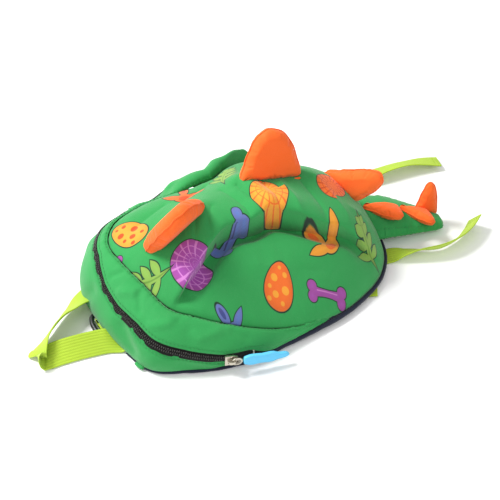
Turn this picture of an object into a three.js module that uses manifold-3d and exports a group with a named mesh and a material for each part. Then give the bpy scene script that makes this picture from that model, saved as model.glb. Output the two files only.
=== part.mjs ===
// Toddler's animal backpack lying empty on its back: printed front panel up, top end at -X, tail at +X.
// Millimetres, +Z up. The body is described round its middle by stations given as angles from +X.

import * as THREE from 'three';
import { mergeVertices } from 'three/addons/utils/BufferGeometryUtils.js';
import Module from 'manifold-3d';

const wasm = await Module();
wasm.setup();

// Driving sizes.

const HALF_LENGTH = 138;      // middle of the body to its rim at the ends
const CROWN = 78;             // height of the empty front panel at its middle
const CLOTH = 1.6;            // front panel and gusset wall
const GAP = 0.4;              // clearance between neighbouring pieces
const BACK_THICK = 4.2;       // mesh back panel
const STRAP_ROOM = 8.6;       // height under the back panel that the shoulder pads fill
const HEM = BACK_THICK + 2 * GAP;
const PANEL_INSET = 5.4;      // back panel edge behind the gusset that reaches the floor
const STEP_DEG = 360 / 64;    // one facet of the outline
const WEB_THICK = 1.5;
const RIM_LIFT = WEB_THICK + 2 * GAP;   // room for the strap ends under the tail end's rim
const HAUL_WIDTH = 22;
const STRAP_WIDTH = 18;
const PAD_THICK = 8;
const TAPE_HALF = 4.6;
const TAPE_THICK = 0.8;
const COIL_HALF = 1.7;
const COIL_THICK = 1.3;
const COIL_RISE = 0.1;         // coil's underside below the cloth's outer face
const PLATE_THICK = 17;
const SPIKE_THICK = 11;

// Materials.

const finish = (color, roughness, metalness = 0) => new THREE.MeshStandardMaterial({ color, roughness, metalness });
const GREEN = finish(0x2fa85a, 0.8);
const PRINTED = finish(0x35ad5f, 0.78);
const ORANGE = finish(0xff642a, 0.85);
const LIME = finish(0xb4d93a, 0.75);
const NAVY = finish(0x1b2338, 0.9);
const BLACK_TAPE = finish(0x17181a, 0.8);
const BLACK_PLASTIC = finish(0x141416, 0.4);
const NICKEL = finish(0xb9b2a4, 0.28, 1);
const RUBBER = finish(0x5cc6ee, 0.5);

// Tables.

// Body stations. rim, seam: reach from the middle over HALF_LENGTH. height: seam height over CROWN.
// belly, lift: how far the gusset bulges out and how far its shoulder stands up, over CROWN.
// round: how square the front panel's fall to its seam is.
const STATIONS = [
  { deg: 0, rim: 0.978, seam: 0.974, height: 0.100, belly: 0.00, lift: 0.00, round: 4.6 },
  { deg: 12, rim: 0.964, seam: 0.960, height: 0.100, belly: 0.00, lift: 0.00, round: 4.4 },
  { deg: 24, rim: 0.928, seam: 0.920, height: 0.100, belly: 0.00, lift: 0.00, round: 4.0 },
  { deg: 36, rim: 0.877, seam: 0.862, height: 0.145, belly: 0.00, lift: 0.01, round: 3.6 },
  { deg: 48, rim: 0.812, seam: 0.776, height: 0.220, belly: 0.01, lift: 0.04, round: 3.6 },
  { deg: 60, rim: 0.761, seam: 0.655, height: 0.520, belly: 0.03, lift: 0.50, round: 3.8 },
  { deg: 72, rim: 0.717, seam: 0.515, height: 0.730, belly: 0.04, lift: 0.45, round: 3.4 },
  { deg: 90, rim: 0.703, seam: 0.420, height: 0.770, belly: 0.06, lift: 0.17, round: 2.4 },
  { deg: 108, rim: 0.725, seam: 0.428, height: 0.780, belly: 0.06, lift: 0.07, round: 2.2 },
  { deg: 126, rim: 0.797, seam: 0.507, height: 0.770, belly: 0.06, lift: 0.05, round: 2.4 },
  { deg: 144, rim: 0.913, seam: 0.674, height: 0.770, belly: 0.06, lift: 0.05, round: 2.6 },
  { deg: 156, rim: 1.000, seam: 0.783, height: 0.780, belly: 0.09, lift: 0.08, round: 2.8 },
  { deg: 168, rim: 1.026, seam: 0.826, height: 0.780, belly: 0.13, lift: 0.07, round: 2.8 },
  { deg: 182, rim: 1.000, seam: 0.790, height: 0.770, belly: 0.15, lift: 0.07, round: 2.6 },
  { deg: 197, rim: 0.995, seam: 0.768, height: 0.720, belly: 0.16, lift: 0.07, round: 2.4 },
  { deg: 211, rim: 1.020, seam: 0.783, height: 0.630, belly: 0.14, lift: 0.09, round: 2.2 },
  { deg: 225, rim: 0.925, seam: 0.739, height: 0.540, belly: 0.12, lift: 0.11, round: 2.0 },
  { deg: 240, rim: 0.841, seam: 0.710, height: 0.440, belly: 0.11, lift: 0.10, round: 1.8 },
  { deg: 255, rim: 0.775, seam: 0.700, height: 0.330, belly: 0.08, lift: 0.08, round: 1.7 },
  { deg: 270, rim: 0.739, seam: 0.704, height: 0.225, belly: 0.04, lift: 0.05, round: 1.6 },
  { deg: 285, rim: 0.754, seam: 0.738, height: 0.165, belly: 0.01, lift: 0.01, round: 1.6 },
  { deg: 296, rim: 0.790, seam: 0.780, height: 0.115, belly: 0.00, lift: 0.00, round: 1.8 },
  { deg: 312, rim: 0.862, seam: 0.858, height: 0.100, belly: 0.00, lift: 0.00, round: 2.2 },
  { deg: 327, rim: 0.949, seam: 0.945, height: 0.100, belly: 0.00, lift: 0.00, round: 2.8 },
  { deg: 342, rim: 0.986, seam: 0.982, height: 0.100, belly: 0.00, lift: 0.00, round: 3.8 },
];

// Zip line: its distance up the gusset from the rim, over CROWN.
const ZIP_LINE = [
  { deg: 84, up: 0.19 }, { deg: 96, up: 0.42 }, { deg: 112, up: 0.56 }, { deg: 130, up: 0.66 },
  { deg: 150, up: 0.74 }, { deg: 171, up: 0.75 }, { deg: 182, up: 0.60 }, { deg: 193, up: 0.52 },
  { deg: 204, up: 0.48 }, { deg: 214, up: 0.39 }, { deg: 225, up: 0.275 }, { deg: 238, up: 0.18 },
  { deg: 250, up: 0.155 }, { deg: 264, up: 0.150 },
];
const ZIP_START = 16 * STEP_DEG;
const ZIP_END = 46 * STEP_DEG;
const COIL_END = 43 * STEP_DEG;
const OUTER_END = 44 * STEP_DEG;
const GUSSET_START = 7 * STEP_DEG;
const GUSSET_END = 52 * STEP_DEG;
const SLIDER_DEG = 240.5;

// Main crease of the flopped front: x, y over HALF_LENGTH, step: height of the ledge over CROWN,
// soft: width of the step over CROWN.
const CREASE = [
  { x: -0.686, y: -0.496, step: 0.00, soft: 0.13 },
  { x: -0.514, y: -0.422, step: 0.08, soft: 0.12 },
  { x: -0.407, y: -0.368, step: 0.12, soft: 0.11 },
  { x: -0.270, y: -0.282, step: 0.14, soft: 0.10 },
  { x: -0.151, y: -0.235, step: 0.16, soft: 0.09 },
  { x: 0.004, y: -0.242, step: 0.18, soft: 0.08 },
  { x: 0.133, y: -0.237, step: 0.22, soft: 0.07 },
  { x: 0.199, y: -0.259, step: 0.22, soft: 0.07 },
  { x: 0.328, y: -0.325, step: 0.17, soft: 0.08 },
  { x: 0.465, y: -0.381, step: 0.13, soft: 0.09 },
  { x: 0.575, y: -0.413, step: 0.11, soft: 0.09 },
  { x: 0.672, y: -0.479, step: 0.07, soft: 0.10 },
  { x: 0.866, y: -0.534, step: 0.00, soft: 0.11 },
];

// Soft ridges of the front: ends over HALF_LENGTH, height and width over CROWN.
const RIDGES = [
  { x0: -0.717, y0: -0.101, x1: -0.283, y1: -0.014, height: 0.065, width: 0.28 },
  { x0: -0.283, y0: -0.014, x1: 0.094, y1: 0.100, height: 0.060, width: 0.31 },
  { x0: 0.094, y0: 0.100, x1: 0.500, y1: 0.055, height: 0.050, width: 0.31 },
  { x0: 0.500, y0: 0.072, x1: 0.688, y1: 0.029, height: 0.050, width: 0.23 },
  { x0: 0.080, y0: 0.101, x1: 0.138, y1: -0.145, height: 0.065, width: 0.15 },
  { x0: -0.283, y0: -0.043, x1: -0.464, y1: -0.333, height: 0.040, width: 0.20 },
];

// Stuffed plates on the middle seam: base ends in plan over HALF_LENGTH, tall over CROWN,
// lean: direction in which the plate stands, seat: clearance of its base over CLOTH.
const PLATES = [
  { name: 'plate_top', x0: -0.655, y0: -0.070, x1: -0.225, y1: 0.020, tall: 0.60, lean: [-0.32, -0.63, 0.71], seat: -0.6 },
  { name: 'plate_middle', x0: 0.065, y0: 0.070, x1: 0.470, y1: 0.040, tall: 0.62, lean: [0.05, 0.30, 0.95], seat: -0.6 },
  { name: 'plate_bottom', x0: 0.690, y0: 0.085, x1: 0.810, y1: -0.115, tall: 0.52, lean: [0.62, -0.56, 0.55], seat: -0.6 },
];

// Outline of a plate: along its base and up its height, as shares.
const PLATE_OUTLINE = [
  { along: -0.50, up: 0.02 },
  { along: -0.42, up: 0.30 },
  { along: -0.29, up: 0.62 },
  { along: -0.13, up: 0.88 },
  { along: 0.05, up: 1.00 }, { along: 0.25, up: 0.93 }, { along: 0.40, up: 0.68 }, { along: 0.48, up: 0.36 },
  { along: 0.50, up: 0.02 }, { along: 0.26, up: 0.00 }, { along: 0.00, up: 0.00 }, { along: -0.26, up: 0.00 },
];

// Tail lying on the ground: middle line in plan over HALF_LENGTH, half width and half thickness over CROWN.
const TAIL = [
  { x: 0.895, y: -0.036, wide: 0.36, thick: 0.155 }, { x: 0.960, y: -0.058, wide: 0.37, thick: 0.170 },
  { x: 1.060, y: -0.094, wide: 0.35, thick: 0.165 }, { x: 1.160, y: -0.145, wide: 0.29, thick: 0.145 },
  { x: 1.265, y: -0.196, wide: 0.22, thick: 0.120 }, { x: 1.365, y: -0.246, wide: 0.155, thick: 0.095 },
  { x: 1.415, y: -0.262, wide: 0.110, thick: 0.072 }, { x: 1.442, y: -0.270, wide: 0.055, thick: 0.045 },
];

// Stuffed spikes along the tail: base ends as shares of the tail's length, aside (to the far side)
// and tall over CROWN, lean: direction in which the spike lies or stands.
const TAIL_SPIKES = [
  { name: 'tail_spike_1', from: 0.06, to: 0.46, aside: 0.03, tall: 0.31, lean: [0.04, -0.96, 0.16] },
  { name: 'tail_spike_2', from: 0.49, to: 0.80, aside: 0.04, tall: 0.32, lean: [0.06, -0.96, 0.14] },
  { name: 'tail_spike_3', from: 0.72, to: 0.96, aside: 0.10, tall: 0.42, lean: [0.06, 0.10, 0.98] },
];

// Haul loop ribbon: middle line from its far end round to its near end, from MIDDLE and the floor over
// HALF_LENGTH, and the direction across it.
const HAUL_LOOP = [
  { at: [-0.9638, 0.1739, 0.0725], across: [0.00, -0.98, 0.10] },
  { at: [-1.0362, 0.1449, 0.0725], across: [-0.04, -0.94, 0.33] },
  { at: [-1.1232, 0.0942, 0.0761], across: [-0.14, -0.80, 0.58] },
  { at: [-1.2101, 0.0435, 0.0833], across: [-0.25, -0.68, 0.69] },
  { at: [-1.2899, -0.0145, 0.087], across: [-0.25, -0.66, 0.71] },
  { at: [-1.3623, -0.0725, 0.0797], across: [-0.12, -0.72, 0.68] },
  { at: [-1.4203, -0.1268, 0.058], across: [0.14, -0.88, 0.44] },
  { at: [-1.4493, -0.1594, 0.0319], across: [0.36, -0.92, 0.10] },
  { at: [-1.4058, -0.1775, 0.0116], across: [0.38, -0.92, 0.00] },
  { at: [-1.2899, -0.192, 0.0072], across: [0.36, -0.93, 0.0] },
  { at: [-1.1522, -0.2101, 0.0116], across: [0.38, -0.92, 0.0] },
  { at: [-1.029, -0.2319, 0.0145], across: [0.40, -0.92, 0.0] },
  { at: [-0.9348, -0.2572, 0.0174], across: [0.40, -0.92, 0.0] },
];

// Free ends of the shoulder straps, and the anchor tabs sewn in the bottom corners, measured in the same way.
const WEBBINGS = [
  { name: 'strap_end_far', width: STRAP_WIDTH, line: [
    { at: [0.3261, 0.3333, 0.0072], across: [0, 1, 0] },
    { at: [0.7319, 0.3478, 0.0072], across: [0, 1, 0] },
    { at: [1.0072, 0.3623, 0.0072], across: [0, 1, 0] },
    { at: [1.1812, 0.3623, 0.029], across: [0.05, 0.99, -0.1] },
    { at: [1.3406, 0.3551, 0.058], across: [0.08, 0.90, -0.42] },
    { at: [1.5, 0.3406, 0.0616], across: [0.10, 0.88, -0.46] },
    { at: [1.6522, 0.3116, 0.0471], across: [0.26, 0.92, -0.30] },
    { at: [1.7681, 0.2754, 0.029], across: [0.46, 0.87, -0.2] }] },
  { name: 'strap_end_near', width: STRAP_WIDTH, line: [
    { at: [0.3261, -0.3333, 0.0072], across: [0, 1, 0] },
    { at: [0.7029, -0.3406, 0.0072], across: [0, 1, 0] },
    { at: [0.9493, -0.3623, 0.0072], across: [0, 1, 0] },
    { at: [1.058, -0.4058, 0.0333], across: [0.12, 0.84, -0.48] },
    { at: [1.1449, -0.4493, 0.058], across: [0.26, 0.62, -0.72] },
    { at: [1.2826, -0.4928, 0.0674], across: [0.16, 0.52, -0.84] },
    { at: [1.4275, -0.4783, 0.0667], across: [0.10, 0.56, -0.82] },
    { at: [1.5435, -0.4275, 0.0652], across: [-0.10, 0.60, -0.80] },
    { at: [1.6377, -0.3623, 0.0623], across: [-0.16, 0.62, -0.76] }] },
  { name: 'anchor_tab_near', width: STRAP_WIDTH, line: [
    { at: [0.3986, -0.4928, 0.0072], across: [0.3, 0.95, 0] },
    { at: [0.5435, -0.5145, 0.0072], across: [0.34, 0.94, 0] },
    { at: [0.6594, -0.5507, 0.0072], across: [0.50, 0.86, 0] },
    { at: [0.7246, -0.587, 0.0072], across: [0.58, 0.81, 0] }] },
  { name: 'anchor_tab_far', width: STRAP_WIDTH, line: [
    { at: [0.3986, 0.4928, 0.0072], across: [-0.3, 0.95, 0] },
    { at: [0.529, 0.5217, 0.0072], across: [-0.34, 0.94, 0] },
    { at: [0.6159, 0.5507, 0.0072], across: [-0.45, 0.89, 0] }] },
];

// Shoulder pads under the back panel: middle line from MIDDLE and half width, over HALF_LENGTH.
const PADS = [
  { name: 'shoulder_pad_near', side: -1 },
  { name: 'shoulder_pad_far', side: 1 },
];
const PAD_LINE = [
  { x: -0.7029, y: 0.1449, half: 0.1087 },
  { x: -0.5145, y: 0.1957, half: 0.1594 },
  { x: -0.2681, y: 0.2464, half: 0.1739 },
  { x: -0.0362, y: 0.2899, half: 0.1667 },
  { x: 0.1522, y: 0.3188, half: 0.1449 },
  { x: 0.2536, y: 0.3333, half: 0.1014 },
];
const MIDDLE = new THREE.Vector2(-21, -16);

// Helpers.

const vec = (x, y, z) => new THREE.Vector3(x, y, z);
const smooth = (t) => THREE.MathUtils.smoothstep(t, 0, 1);
const share = (a, b, t) => THREE.MathUtils.lerp(a, b, t);

// Value of one column at an angle, with a cubic that never overshoots the rows beside it.
function roundTable(rows, key, deg) {
  const n = rows.length;
  const p = ((deg % 360) + 360) % 360;
  let k = n - 1;
  while (k > 0 && rows[k].deg > p) k -= 1;
  const at = (i) => rows[((i % n) + n) % n].deg + 360 * Math.floor(i / n);
  const val = (i) => rows[((i % n) + n) % n][key];
  const slope = (i) => (val(i + 1) - val(i)) / (at(i + 1) - at(i));
  const tangent = (i) => {
    const [a, b] = [slope(i - 1), slope(i)];
    if (a * b <= 0) return 0;
    const mean = (val(i + 1) - val(i - 1)) / (at(i + 1) - at(i - 1));
    return Math.sign(mean) * Math.min(Math.abs(mean), 3 * Math.abs(a), 3 * Math.abs(b));
  };
  const h = at(k + 1) - at(k);
  const t = (p - at(k)) / h;
  const [t2, t3] = [t * t, t * t * t];
  return (2 * t3 - 3 * t2 + 1) * val(k) + (t3 - 2 * t2 + t) * h * tangent(k)
    + (3 * t2 - 2 * t3) * val(k + 1) + (t3 - t2) * h * tangent(k + 1);
}

function lineTable(rows, key, deg) {
  if (deg <= rows[0].deg) return rows[0][key];
  for (let i = 1; i < rows.length; i += 1) {
    if (deg <= rows[i].deg) {
      const t = (deg - rows[i - 1].deg) / (rows[i].deg - rows[i - 1].deg);
      return share(rows[i - 1][key], rows[i][key], t);
    }
  }
  return rows[rows.length - 1][key];
}

// Moves every vertex of a closed library shape to place(x, y, z).
function warp(geometry, place) {
  const bare = geometry.clone();
  bare.deleteAttribute('normal');
  bare.deleteAttribute('uv');
  const pos = bare.attributes.position;
  for (let i = 0; i < pos.count; i += 1) {
    const p = place(pos.getX(i), pos.getY(i), pos.getZ(i));
    pos.setXYZ(i, p.x, p.y, p.z);
  }
  const merged = mergeVertices(bare, 1e-4);
  merged.computeVertexNormals();
  return merged;
}

// A sheet: u along, v across, and side 0 (under) or 1 (upper) from a box with one layer.
function sheet(nu, nv, place) {
  return warp(new THREE.BoxGeometry(1, 1, 1, nu, nv, 1), (x, y, z) => place(x + 0.5, y + 0.5, z > 0 ? 1 : 0));
}

// A closed round of cloth: deg round the middle, s from the middle to the edge, side 0 or 1.
function disc(steps, place) {
  const profile = [...steps.map((s) => new THREE.Vector2(s, 0)), ...steps.slice().reverse().map((s) => new THREE.Vector2(s, 1))];
  return warp(new THREE.LatheGeometry(profile, 64), (x, y, z) => {
    const s = Math.hypot(x, z);
    const deg = s < 1e-6 ? 0 : THREE.MathUtils.radToDeg(Math.atan2(x, z));
    return place(((deg % 360) + 360) % 360, Math.min(1, s), y > 0.5 ? 1 : 0);
  });
}

function mesh(name, geometry, material) {
  const piece = new THREE.Mesh(geometry, material);
  piece.name = name;
  return piece;
}

// Joins or cuts closed geometries.
function solid(geometry) {
  const bare = geometry.clone();
  bare.deleteAttribute('normal');
  bare.deleteAttribute('uv');
  const merged = mergeVertices(bare, 1e-4);
  return new wasm.Manifold(new wasm.Mesh({
    numProp: 3,
    vertProperties: new Float32Array(merged.attributes.position.array),
    triVerts: new Uint32Array(merged.index.array),
  }));
}

function fromSolid(body) {
  const out = body.getMesh();
  const geometry = new THREE.BufferGeometry();
  geometry.setAttribute('position', new THREE.Float32BufferAttribute(out.vertProperties, 3));
  geometry.setIndex(new THREE.Uint32BufferAttribute(out.triVerts, 1));
  geometry.computeVertexNormals();
  return geometry;
}

// Body surfaces.

function polar(deg, reach, z) {
  const a = THREE.MathUtils.degToRad(deg);
  return vec(MIDDLE.x + reach * Math.cos(a), MIDDLE.y + reach * Math.sin(a), z);
}

const rimReach = (deg) => roundTable(STATIONS, 'rim', deg) * HALF_LENGTH;
const seamReach = (deg) => roundTable(STATIONS, 'seam', deg) * HALF_LENGTH;
const seamHeight = (deg) => roundTable(STATIONS, 'height', deg) * CROWN;

// Gusset curve from the rim on the ground (w 0) up over its shoulder to the seam (w 1).
function gussetCurve(deg, w) {
  const rim = rimReach(deg);
  const seam = seamReach(deg);
  const high = seamHeight(deg);
  const belly = roundTable(STATIONS, 'belly', deg) * CROWN;
  const lift = roundTable(STATIONS, 'lift', deg) * CROWN;
  const [b0, b1, b2, b3] = [(1 - w) ** 3, 3 * w * (1 - w) ** 2, 3 * w * w * (1 - w), w ** 3];
  const reach = b0 * rim + b1 * (rim + belly) + b2 * (seam + 0.35 * lift + 0.3 * belly) + b3 * seam;
  return polar(deg, reach, b1 * high * 0.5 + b2 * (high + lift) + b3 * high);
}

const CURVE_STEPS = 24;
function gussetLength(deg) {
  let total = 0;
  for (let i = 1; i <= CURVE_STEPS; i += 1) {
    total += gussetCurve(deg, i / CURVE_STEPS).distanceTo(gussetCurve(deg, (i - 1) / CURVE_STEPS));
  }
  return total;
}

// Point on the gusset at a distance up the cloth from the rim.
function gussetAt(deg, distance) {
  let left = distance;
  for (let i = 1; i <= CURVE_STEPS; i += 1) {
    const a = gussetCurve(deg, (i - 1) / CURVE_STEPS);
    const b = gussetCurve(deg, i / CURVE_STEPS);
    const d = a.distanceTo(b);
    if (left <= d || i === CURVE_STEPS) return a.lerp(b, left / d);
    left -= d;
  }
  return gussetCurve(deg, 1);
}

function gussetNormal(deg, distance) {
  const step = 1.5;
  const low = Math.max(0, distance - 1);
  const along = gussetAt(deg + step, distance).sub(gussetAt(deg - step, distance));
  const up = gussetAt(deg, low + 2).sub(gussetAt(deg, low));
  return along.cross(up).normalize();
}

// Signed distance to the crease (positive on its far side) with the step and softness there.
function creaseAt(x, y) {
  let best = { distance: Infinity, step: 0, soft: 1 };
  for (let i = 1; i < CREASE.length; i += 1) {
    const [a, b] = [CREASE[i - 1], CREASE[i]];
    const [dx, dy] = [b.x - a.x, b.y - a.y];
    const t = THREE.MathUtils.clamp(((x - a.x) * dx + (y - a.y) * dy) / (dx * dx + dy * dy), 0, 1);
    const distance = Math.hypot(x - a.x - dx * t, y - a.y - dy * t);
    if (distance < Math.abs(best.distance) - 1e-9) {
      const sign = dx * (y - a.y) - dy * (x - a.x) >= 0 ? 1 : -1;
      best = { distance: sign * distance, step: share(a.step, b.step, t), soft: share(a.soft, b.soft, t) };
    }
  }
  return { distance: best.distance * HALF_LENGTH, step: best.step * CROWN, soft: best.soft * CROWN };
}

// Height that the folds and ridges add to the front panel.
function foldHeight(x, y, s) {
  const [u, v] = [(x - MIDDLE.x) / HALF_LENGTH, (y - MIDDLE.y) / HALF_LENGTH];
  const edge = smooth((1 - s) * 6);
  const crease = creaseAt(u, v);
  const ledge = smooth(crease.distance / (crease.soft * 1.2) + 0.5) * Math.exp(-Math.max(0, crease.distance) / (0.45 * CROWN));
  const valley = Math.exp(-(((crease.distance / crease.soft + 0.5) / 1.3) ** 2));
  let z = crease.step * (ledge - 0.45 * valley);
  for (const r of RIDGES) {
    const [dx, dy] = [r.x1 - r.x0, r.y1 - r.y0];
    const t = THREE.MathUtils.clamp(((u - r.x0) * dx + (v - r.y0) * dy) / (dx * dx + dy * dy), 0, 1);
    const d = Math.hypot(u - r.x0 - dx * t, v - r.y0 - dy * t) * HALF_LENGTH;
    z += r.height * CROWN * Math.exp(-((d / (r.width * CROWN)) ** 2));
  }
  return z * edge;
}

// Front panel from its middle (s 0) to its seam (s 1).
function frontAt(deg, s) {
  const p = polar(deg, seamReach(deg) * s, 0);
  const high = seamHeight(deg);
  const open = (1 - s) ** 2;
  const round = share(roundTable(STATIONS, 'round', deg), 2.4, open);
  p.z = high + (CROWN - high) * (1 - s ** round) ** 0.85 + foldHeight(p.x, p.y, s);
  return p;
}

function frontNormal(deg, s) {
  const q = Math.max(0.03, s);
  const [a, b] = [Math.max(0.02, q - 0.02), Math.min(0.999, q + 0.02)];
  const outward = frontAt(deg, b).sub(frontAt(deg, a));
  const along = frontAt(deg + 2, q).sub(frontAt(deg - 2, q));
  return outward.cross(along).normalize();
}

// Front panel point and normal above a place in plan.
function frontOver(x, y) {
  const deg = THREE.MathUtils.radToDeg(Math.atan2(y - MIDDLE.y, x - MIDDLE.x));
  const s = Math.hypot(x - MIDDLE.x, y - MIDDLE.y) / seamReach(deg);
  return { point: frontAt(deg, Math.min(0.995, s)), normal: frontNormal(deg, Math.min(0.97, s)) };
}

// Cloth body.

const FRONT_STEPS = [0, 0.14, 0.27, 0.39, 0.50, 0.60, 0.69, 0.77, 0.84, 0.90, 0.95, 1];
function frontPanel() {
  return disc(FRONT_STEPS, (deg, s, side) => {
    const p = frontAt(deg, s);
    if (side === 1) return p;
    const n = s < 1e-6 ? vec(0, 0, 1) : frontNormal(deg, s);
    return p.addScaledVector(n, -CLOTH);
  });
}

function zipUp(deg) {
  return lineTable(ZIP_LINE, 'up', deg) * CROWN;
}

// A band of the gusset between two distances up the cloth, hung inward or outward by its thickness.
function gussetBand(from, to, rows, low, high, inner, outer) {
  const columns = Math.round((to - from) / STEP_DEG);
  return sheet(columns, rows, (u, v, side) => {
    const deg = share(from, to, u);
    const distance = share(low(deg), high(deg), v);
    return gussetAt(deg, distance).addScaledVector(gussetNormal(deg, distance), side ? outer : inner);
  });
}

const TAPE_CLEAR = TAPE_HALF + GAP;
const tailSide = (deg) => smooth(Math.cos(THREE.MathUtils.degToRad(deg)) * 2 + 0.4);
const floorHem = (deg) => share(HEM, GAP, smooth((deg - 125) / 20) * smooth((240 - deg) / 14))
  + RIM_LIFT * tailSide(deg);

function gussetOuter() {
  return gussetBand(ZIP_START, OUTER_END, 4, floorHem, (deg) => zipUp(deg) - TAPE_CLEAR, -CLOTH, 0);
}

// Above the zip, and down to the hem where the zip has ended.
function gussetInner() {
  const low = (deg) => {
    const beyond = Math.max(smooth((ZIP_START - deg) / STEP_DEG), smooth((deg - ZIP_END) / STEP_DEG));
    return share(zipUp(deg) + TAPE_CLEAR, floorHem(deg) + 2 * GAP, beyond);
  };
  return gussetBand(GUSSET_START, GUSSET_END, 5, low, (deg) => gussetLength(deg) - CLOTH - GAP, -CLOTH, 0);
}

function zipTape() {
  return gussetBand(ZIP_START + STEP_DEG, ZIP_END, 1, (deg) => zipUp(deg) - TAPE_HALF,
    (deg) => zipUp(deg) + TAPE_HALF, -TAPE_THICK - GAP, -GAP);
}

function zipCoil() {
  return gussetBand(ZIP_START + 2 * STEP_DEG, COIL_END, 1, (deg) => zipUp(deg) - COIL_HALF,
    (deg) => zipUp(deg) + COIL_HALF, -COIL_RISE, COIL_THICK - COIL_RISE);
}

// Mesh back panel, raised in its middle by the shoulder pads under it.
function backPanel() {
  return disc([0, 0.45, 0.72, 0.80, 0.87, 0.94, 1], (deg, s, side) => {
    const inset = PANEL_INSET * smooth((deg - 116) / 20) * smooth((249 - deg) / 14);
    const p = polar(deg, (rimReach(deg) - inset) * s, 0);
    const lift = RIM_LIFT * tailSide(deg);
    p.z = lift + (STRAP_ROOM - lift) * smooth((1 - s) / 0.22) + (side ? BACK_THICK : 0);
    return p;
  });
}

// The whole body filled and grown by the clearance: what sits on the bag is cut to its shape.
function bodySolid() {
  const turn = 0.6;
  const steps = [...FRONT_STEPS.map((s) => s * turn), 0.66, 0.72, 0.78, 0.84, 0.90, 0.95, 1];
  return solid(disc(steps, (deg, s, side) => {
    if (!side) return polar(deg, rimReach(deg) * s, -GAP);
    if (s <= turn) {
      const n = s < 1e-6 ? vec(0, 0, 1) : frontNormal(deg, s / turn);
      return frontAt(deg, s / turn).addScaledVector(n, GAP);
    }
    const p = gussetCurve(deg, (1 - s) / (1 - turn));
    return p.add(polar(deg, 2 * GAP, 0).sub(polar(deg, 0, 0)));
  }));
}
const BODY = bodySolid();
const seated = (geometry, seat = BODY) => fromSolid(solid(geometry).subtract(seat));

// Stuffed pieces.

// A stuffed flat shape: a squashed ball whose rim follows a closed outline, thickest in its middle.
function stuffed(outline, columns, rows, place, pinch = 1.25) {
  const points = outline.map((o) => vec(o.along, o.up, 0));
  const curve = new THREE.CatmullRomCurve3(points, true, 'centripetal');
  const middle = vec(0, 0.42, 0);
  return warp(new THREE.SphereGeometry(1, columns, rows), (x, y, z) => {
    const s = Math.min(1, Math.hypot(x, z));
    const turn = (Math.atan2(z, x) / (2 * Math.PI) + 1) % 1;
    const q = middle.clone().lerp(curve.getPoint(turn), s);
    return place(q.x, q.y, Math.sign(y) * Math.abs(y) ** pinch);
  });
}

function plate(row) {
  const from = new THREE.Vector2(row.x0, row.y0).multiplyScalar(HALF_LENGTH).add(MIDDLE);
  const to = new THREE.Vector2(row.x1, row.y1).multiplyScalar(HALF_LENGTH).add(MIDDLE);
  const lean = vec(...row.lean).normalize();
  const chord = frontOver(to.x, to.y).point.sub(frontOver(from.x, from.y).point).normalize();
  const face = chord.clone().cross(lean).normalize();
  return stuffed(PLATE_OUTLINE, 20, 12, (along, up, thick) => {
    const t = along + 0.5;
    const foot = frontOver(share(from.x, to.x, t), share(from.y, to.y, t));
    const p = foot.point.addScaledVector(foot.normal, row.seat * CLOTH);
    return p.addScaledVector(lean, up * row.tall * CROWN).addScaledVector(face, thick * PLATE_THICK / 2);
  });
}

// Tail section at a share of its length along X.
function tailAt(t) {
  const x = share(TAIL[0].x, TAIL[TAIL.length - 1].x, THREE.MathUtils.clamp(t, 0, 1));
  let i = 0;
  while (i < TAIL.length - 2 && TAIL[i + 1].x < x) i += 1;
  const row = (key) => share(TAIL[i][key], TAIL[i + 1][key], (x - TAIL[i].x) / (TAIL[i + 1].x - TAIL[i].x));
  return {
    at: vec(row('x') * HALF_LENGTH + MIDDLE.x, row('y') * HALF_LENGTH + MIDDLE.y, 0),
    wide: row('wide') * CROWN,
    thick: row('thick') * CROWN,
  };
}

function tailDirection(t) {
  return tailAt(t + 0.06).at.sub(tailAt(t - 0.06).at).normalize();
}

function tail(grow = 0) {
  return warp(new THREE.CylinderGeometry(1, 1, 1, 18, 14), (x, y, z) => {
    const t = 0.5 - y;
    const section = tailAt(t);
    const across = vec(0, 0, 1).cross(tailDirection(t)).normalize();
    const p = section.at.clone().addScaledVector(across, x * (section.wide + grow));
    p.z = section.thick + GAP + Math.sign(z) * Math.abs(z) ** 1.2 * (section.thick + grow);
    return p;
  });
}

function tailSpike(row) {
  const lean = vec(...row.lean).normalize();
  const chord = tailAt(row.to).at.sub(tailAt(row.from).at).normalize();
  const face = chord.clone().cross(lean).normalize();
  return stuffed(PLATE_OUTLINE, 16, 8, (along, up, thick) => {
    const t = share(row.from, row.to, along + 0.5);
    const section = tailAt(t);
    const p = section.at.clone();
    p.y += row.aside * CROWN;
    p.z = 2 * section.thick + GAP - Math.abs(row.aside) * CROWN * 0.3;
    return p.addScaledVector(lean, up * row.tall * CROWN).addScaledVector(face, thick * SPIKE_THICK / 2);
  });
}

// Webbing.

// Rows of a webbing table in millimetres.
const webbingLine = (rows) => rows.map((r) => ({
  at: [MIDDLE.x + r.at[0] * HALF_LENGTH, MIDDLE.y + r.at[1] * HALF_LENGTH, r.at[2] * HALF_LENGTH], across: r.across,
}));

function ribbon(line, width, steps, thick = WEB_THICK) {
  const middle = new THREE.CatmullRomCurve3(line.map((r) => vec(...r.at)), false, 'centripetal');
  const across = new THREE.CatmullRomCurve3(line.map((r) => vec(...r.across)), false, 'centripetal');
  const lift = line.map((r) => r.at[2]);
  return sheet(steps, 1, (u, v, side) => {
    const along = middle.getTangent(u);
    const side2 = across.getPoint(u).normalize();
    side2.addScaledVector(along, -side2.dot(along)).normalize();
    const normal = along.clone().cross(side2).normalize();
    const p = middle.getPoint(u);
    if (Math.min(...lift) > 0) p.z = Math.max(p.z, Math.abs(side2.z) * width / 2 + thick / 2 + 0.05);
    return p.addScaledVector(side2, (v - 0.5) * width).addScaledVector(normal, (side - 0.5) * thick);
  });
}

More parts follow.
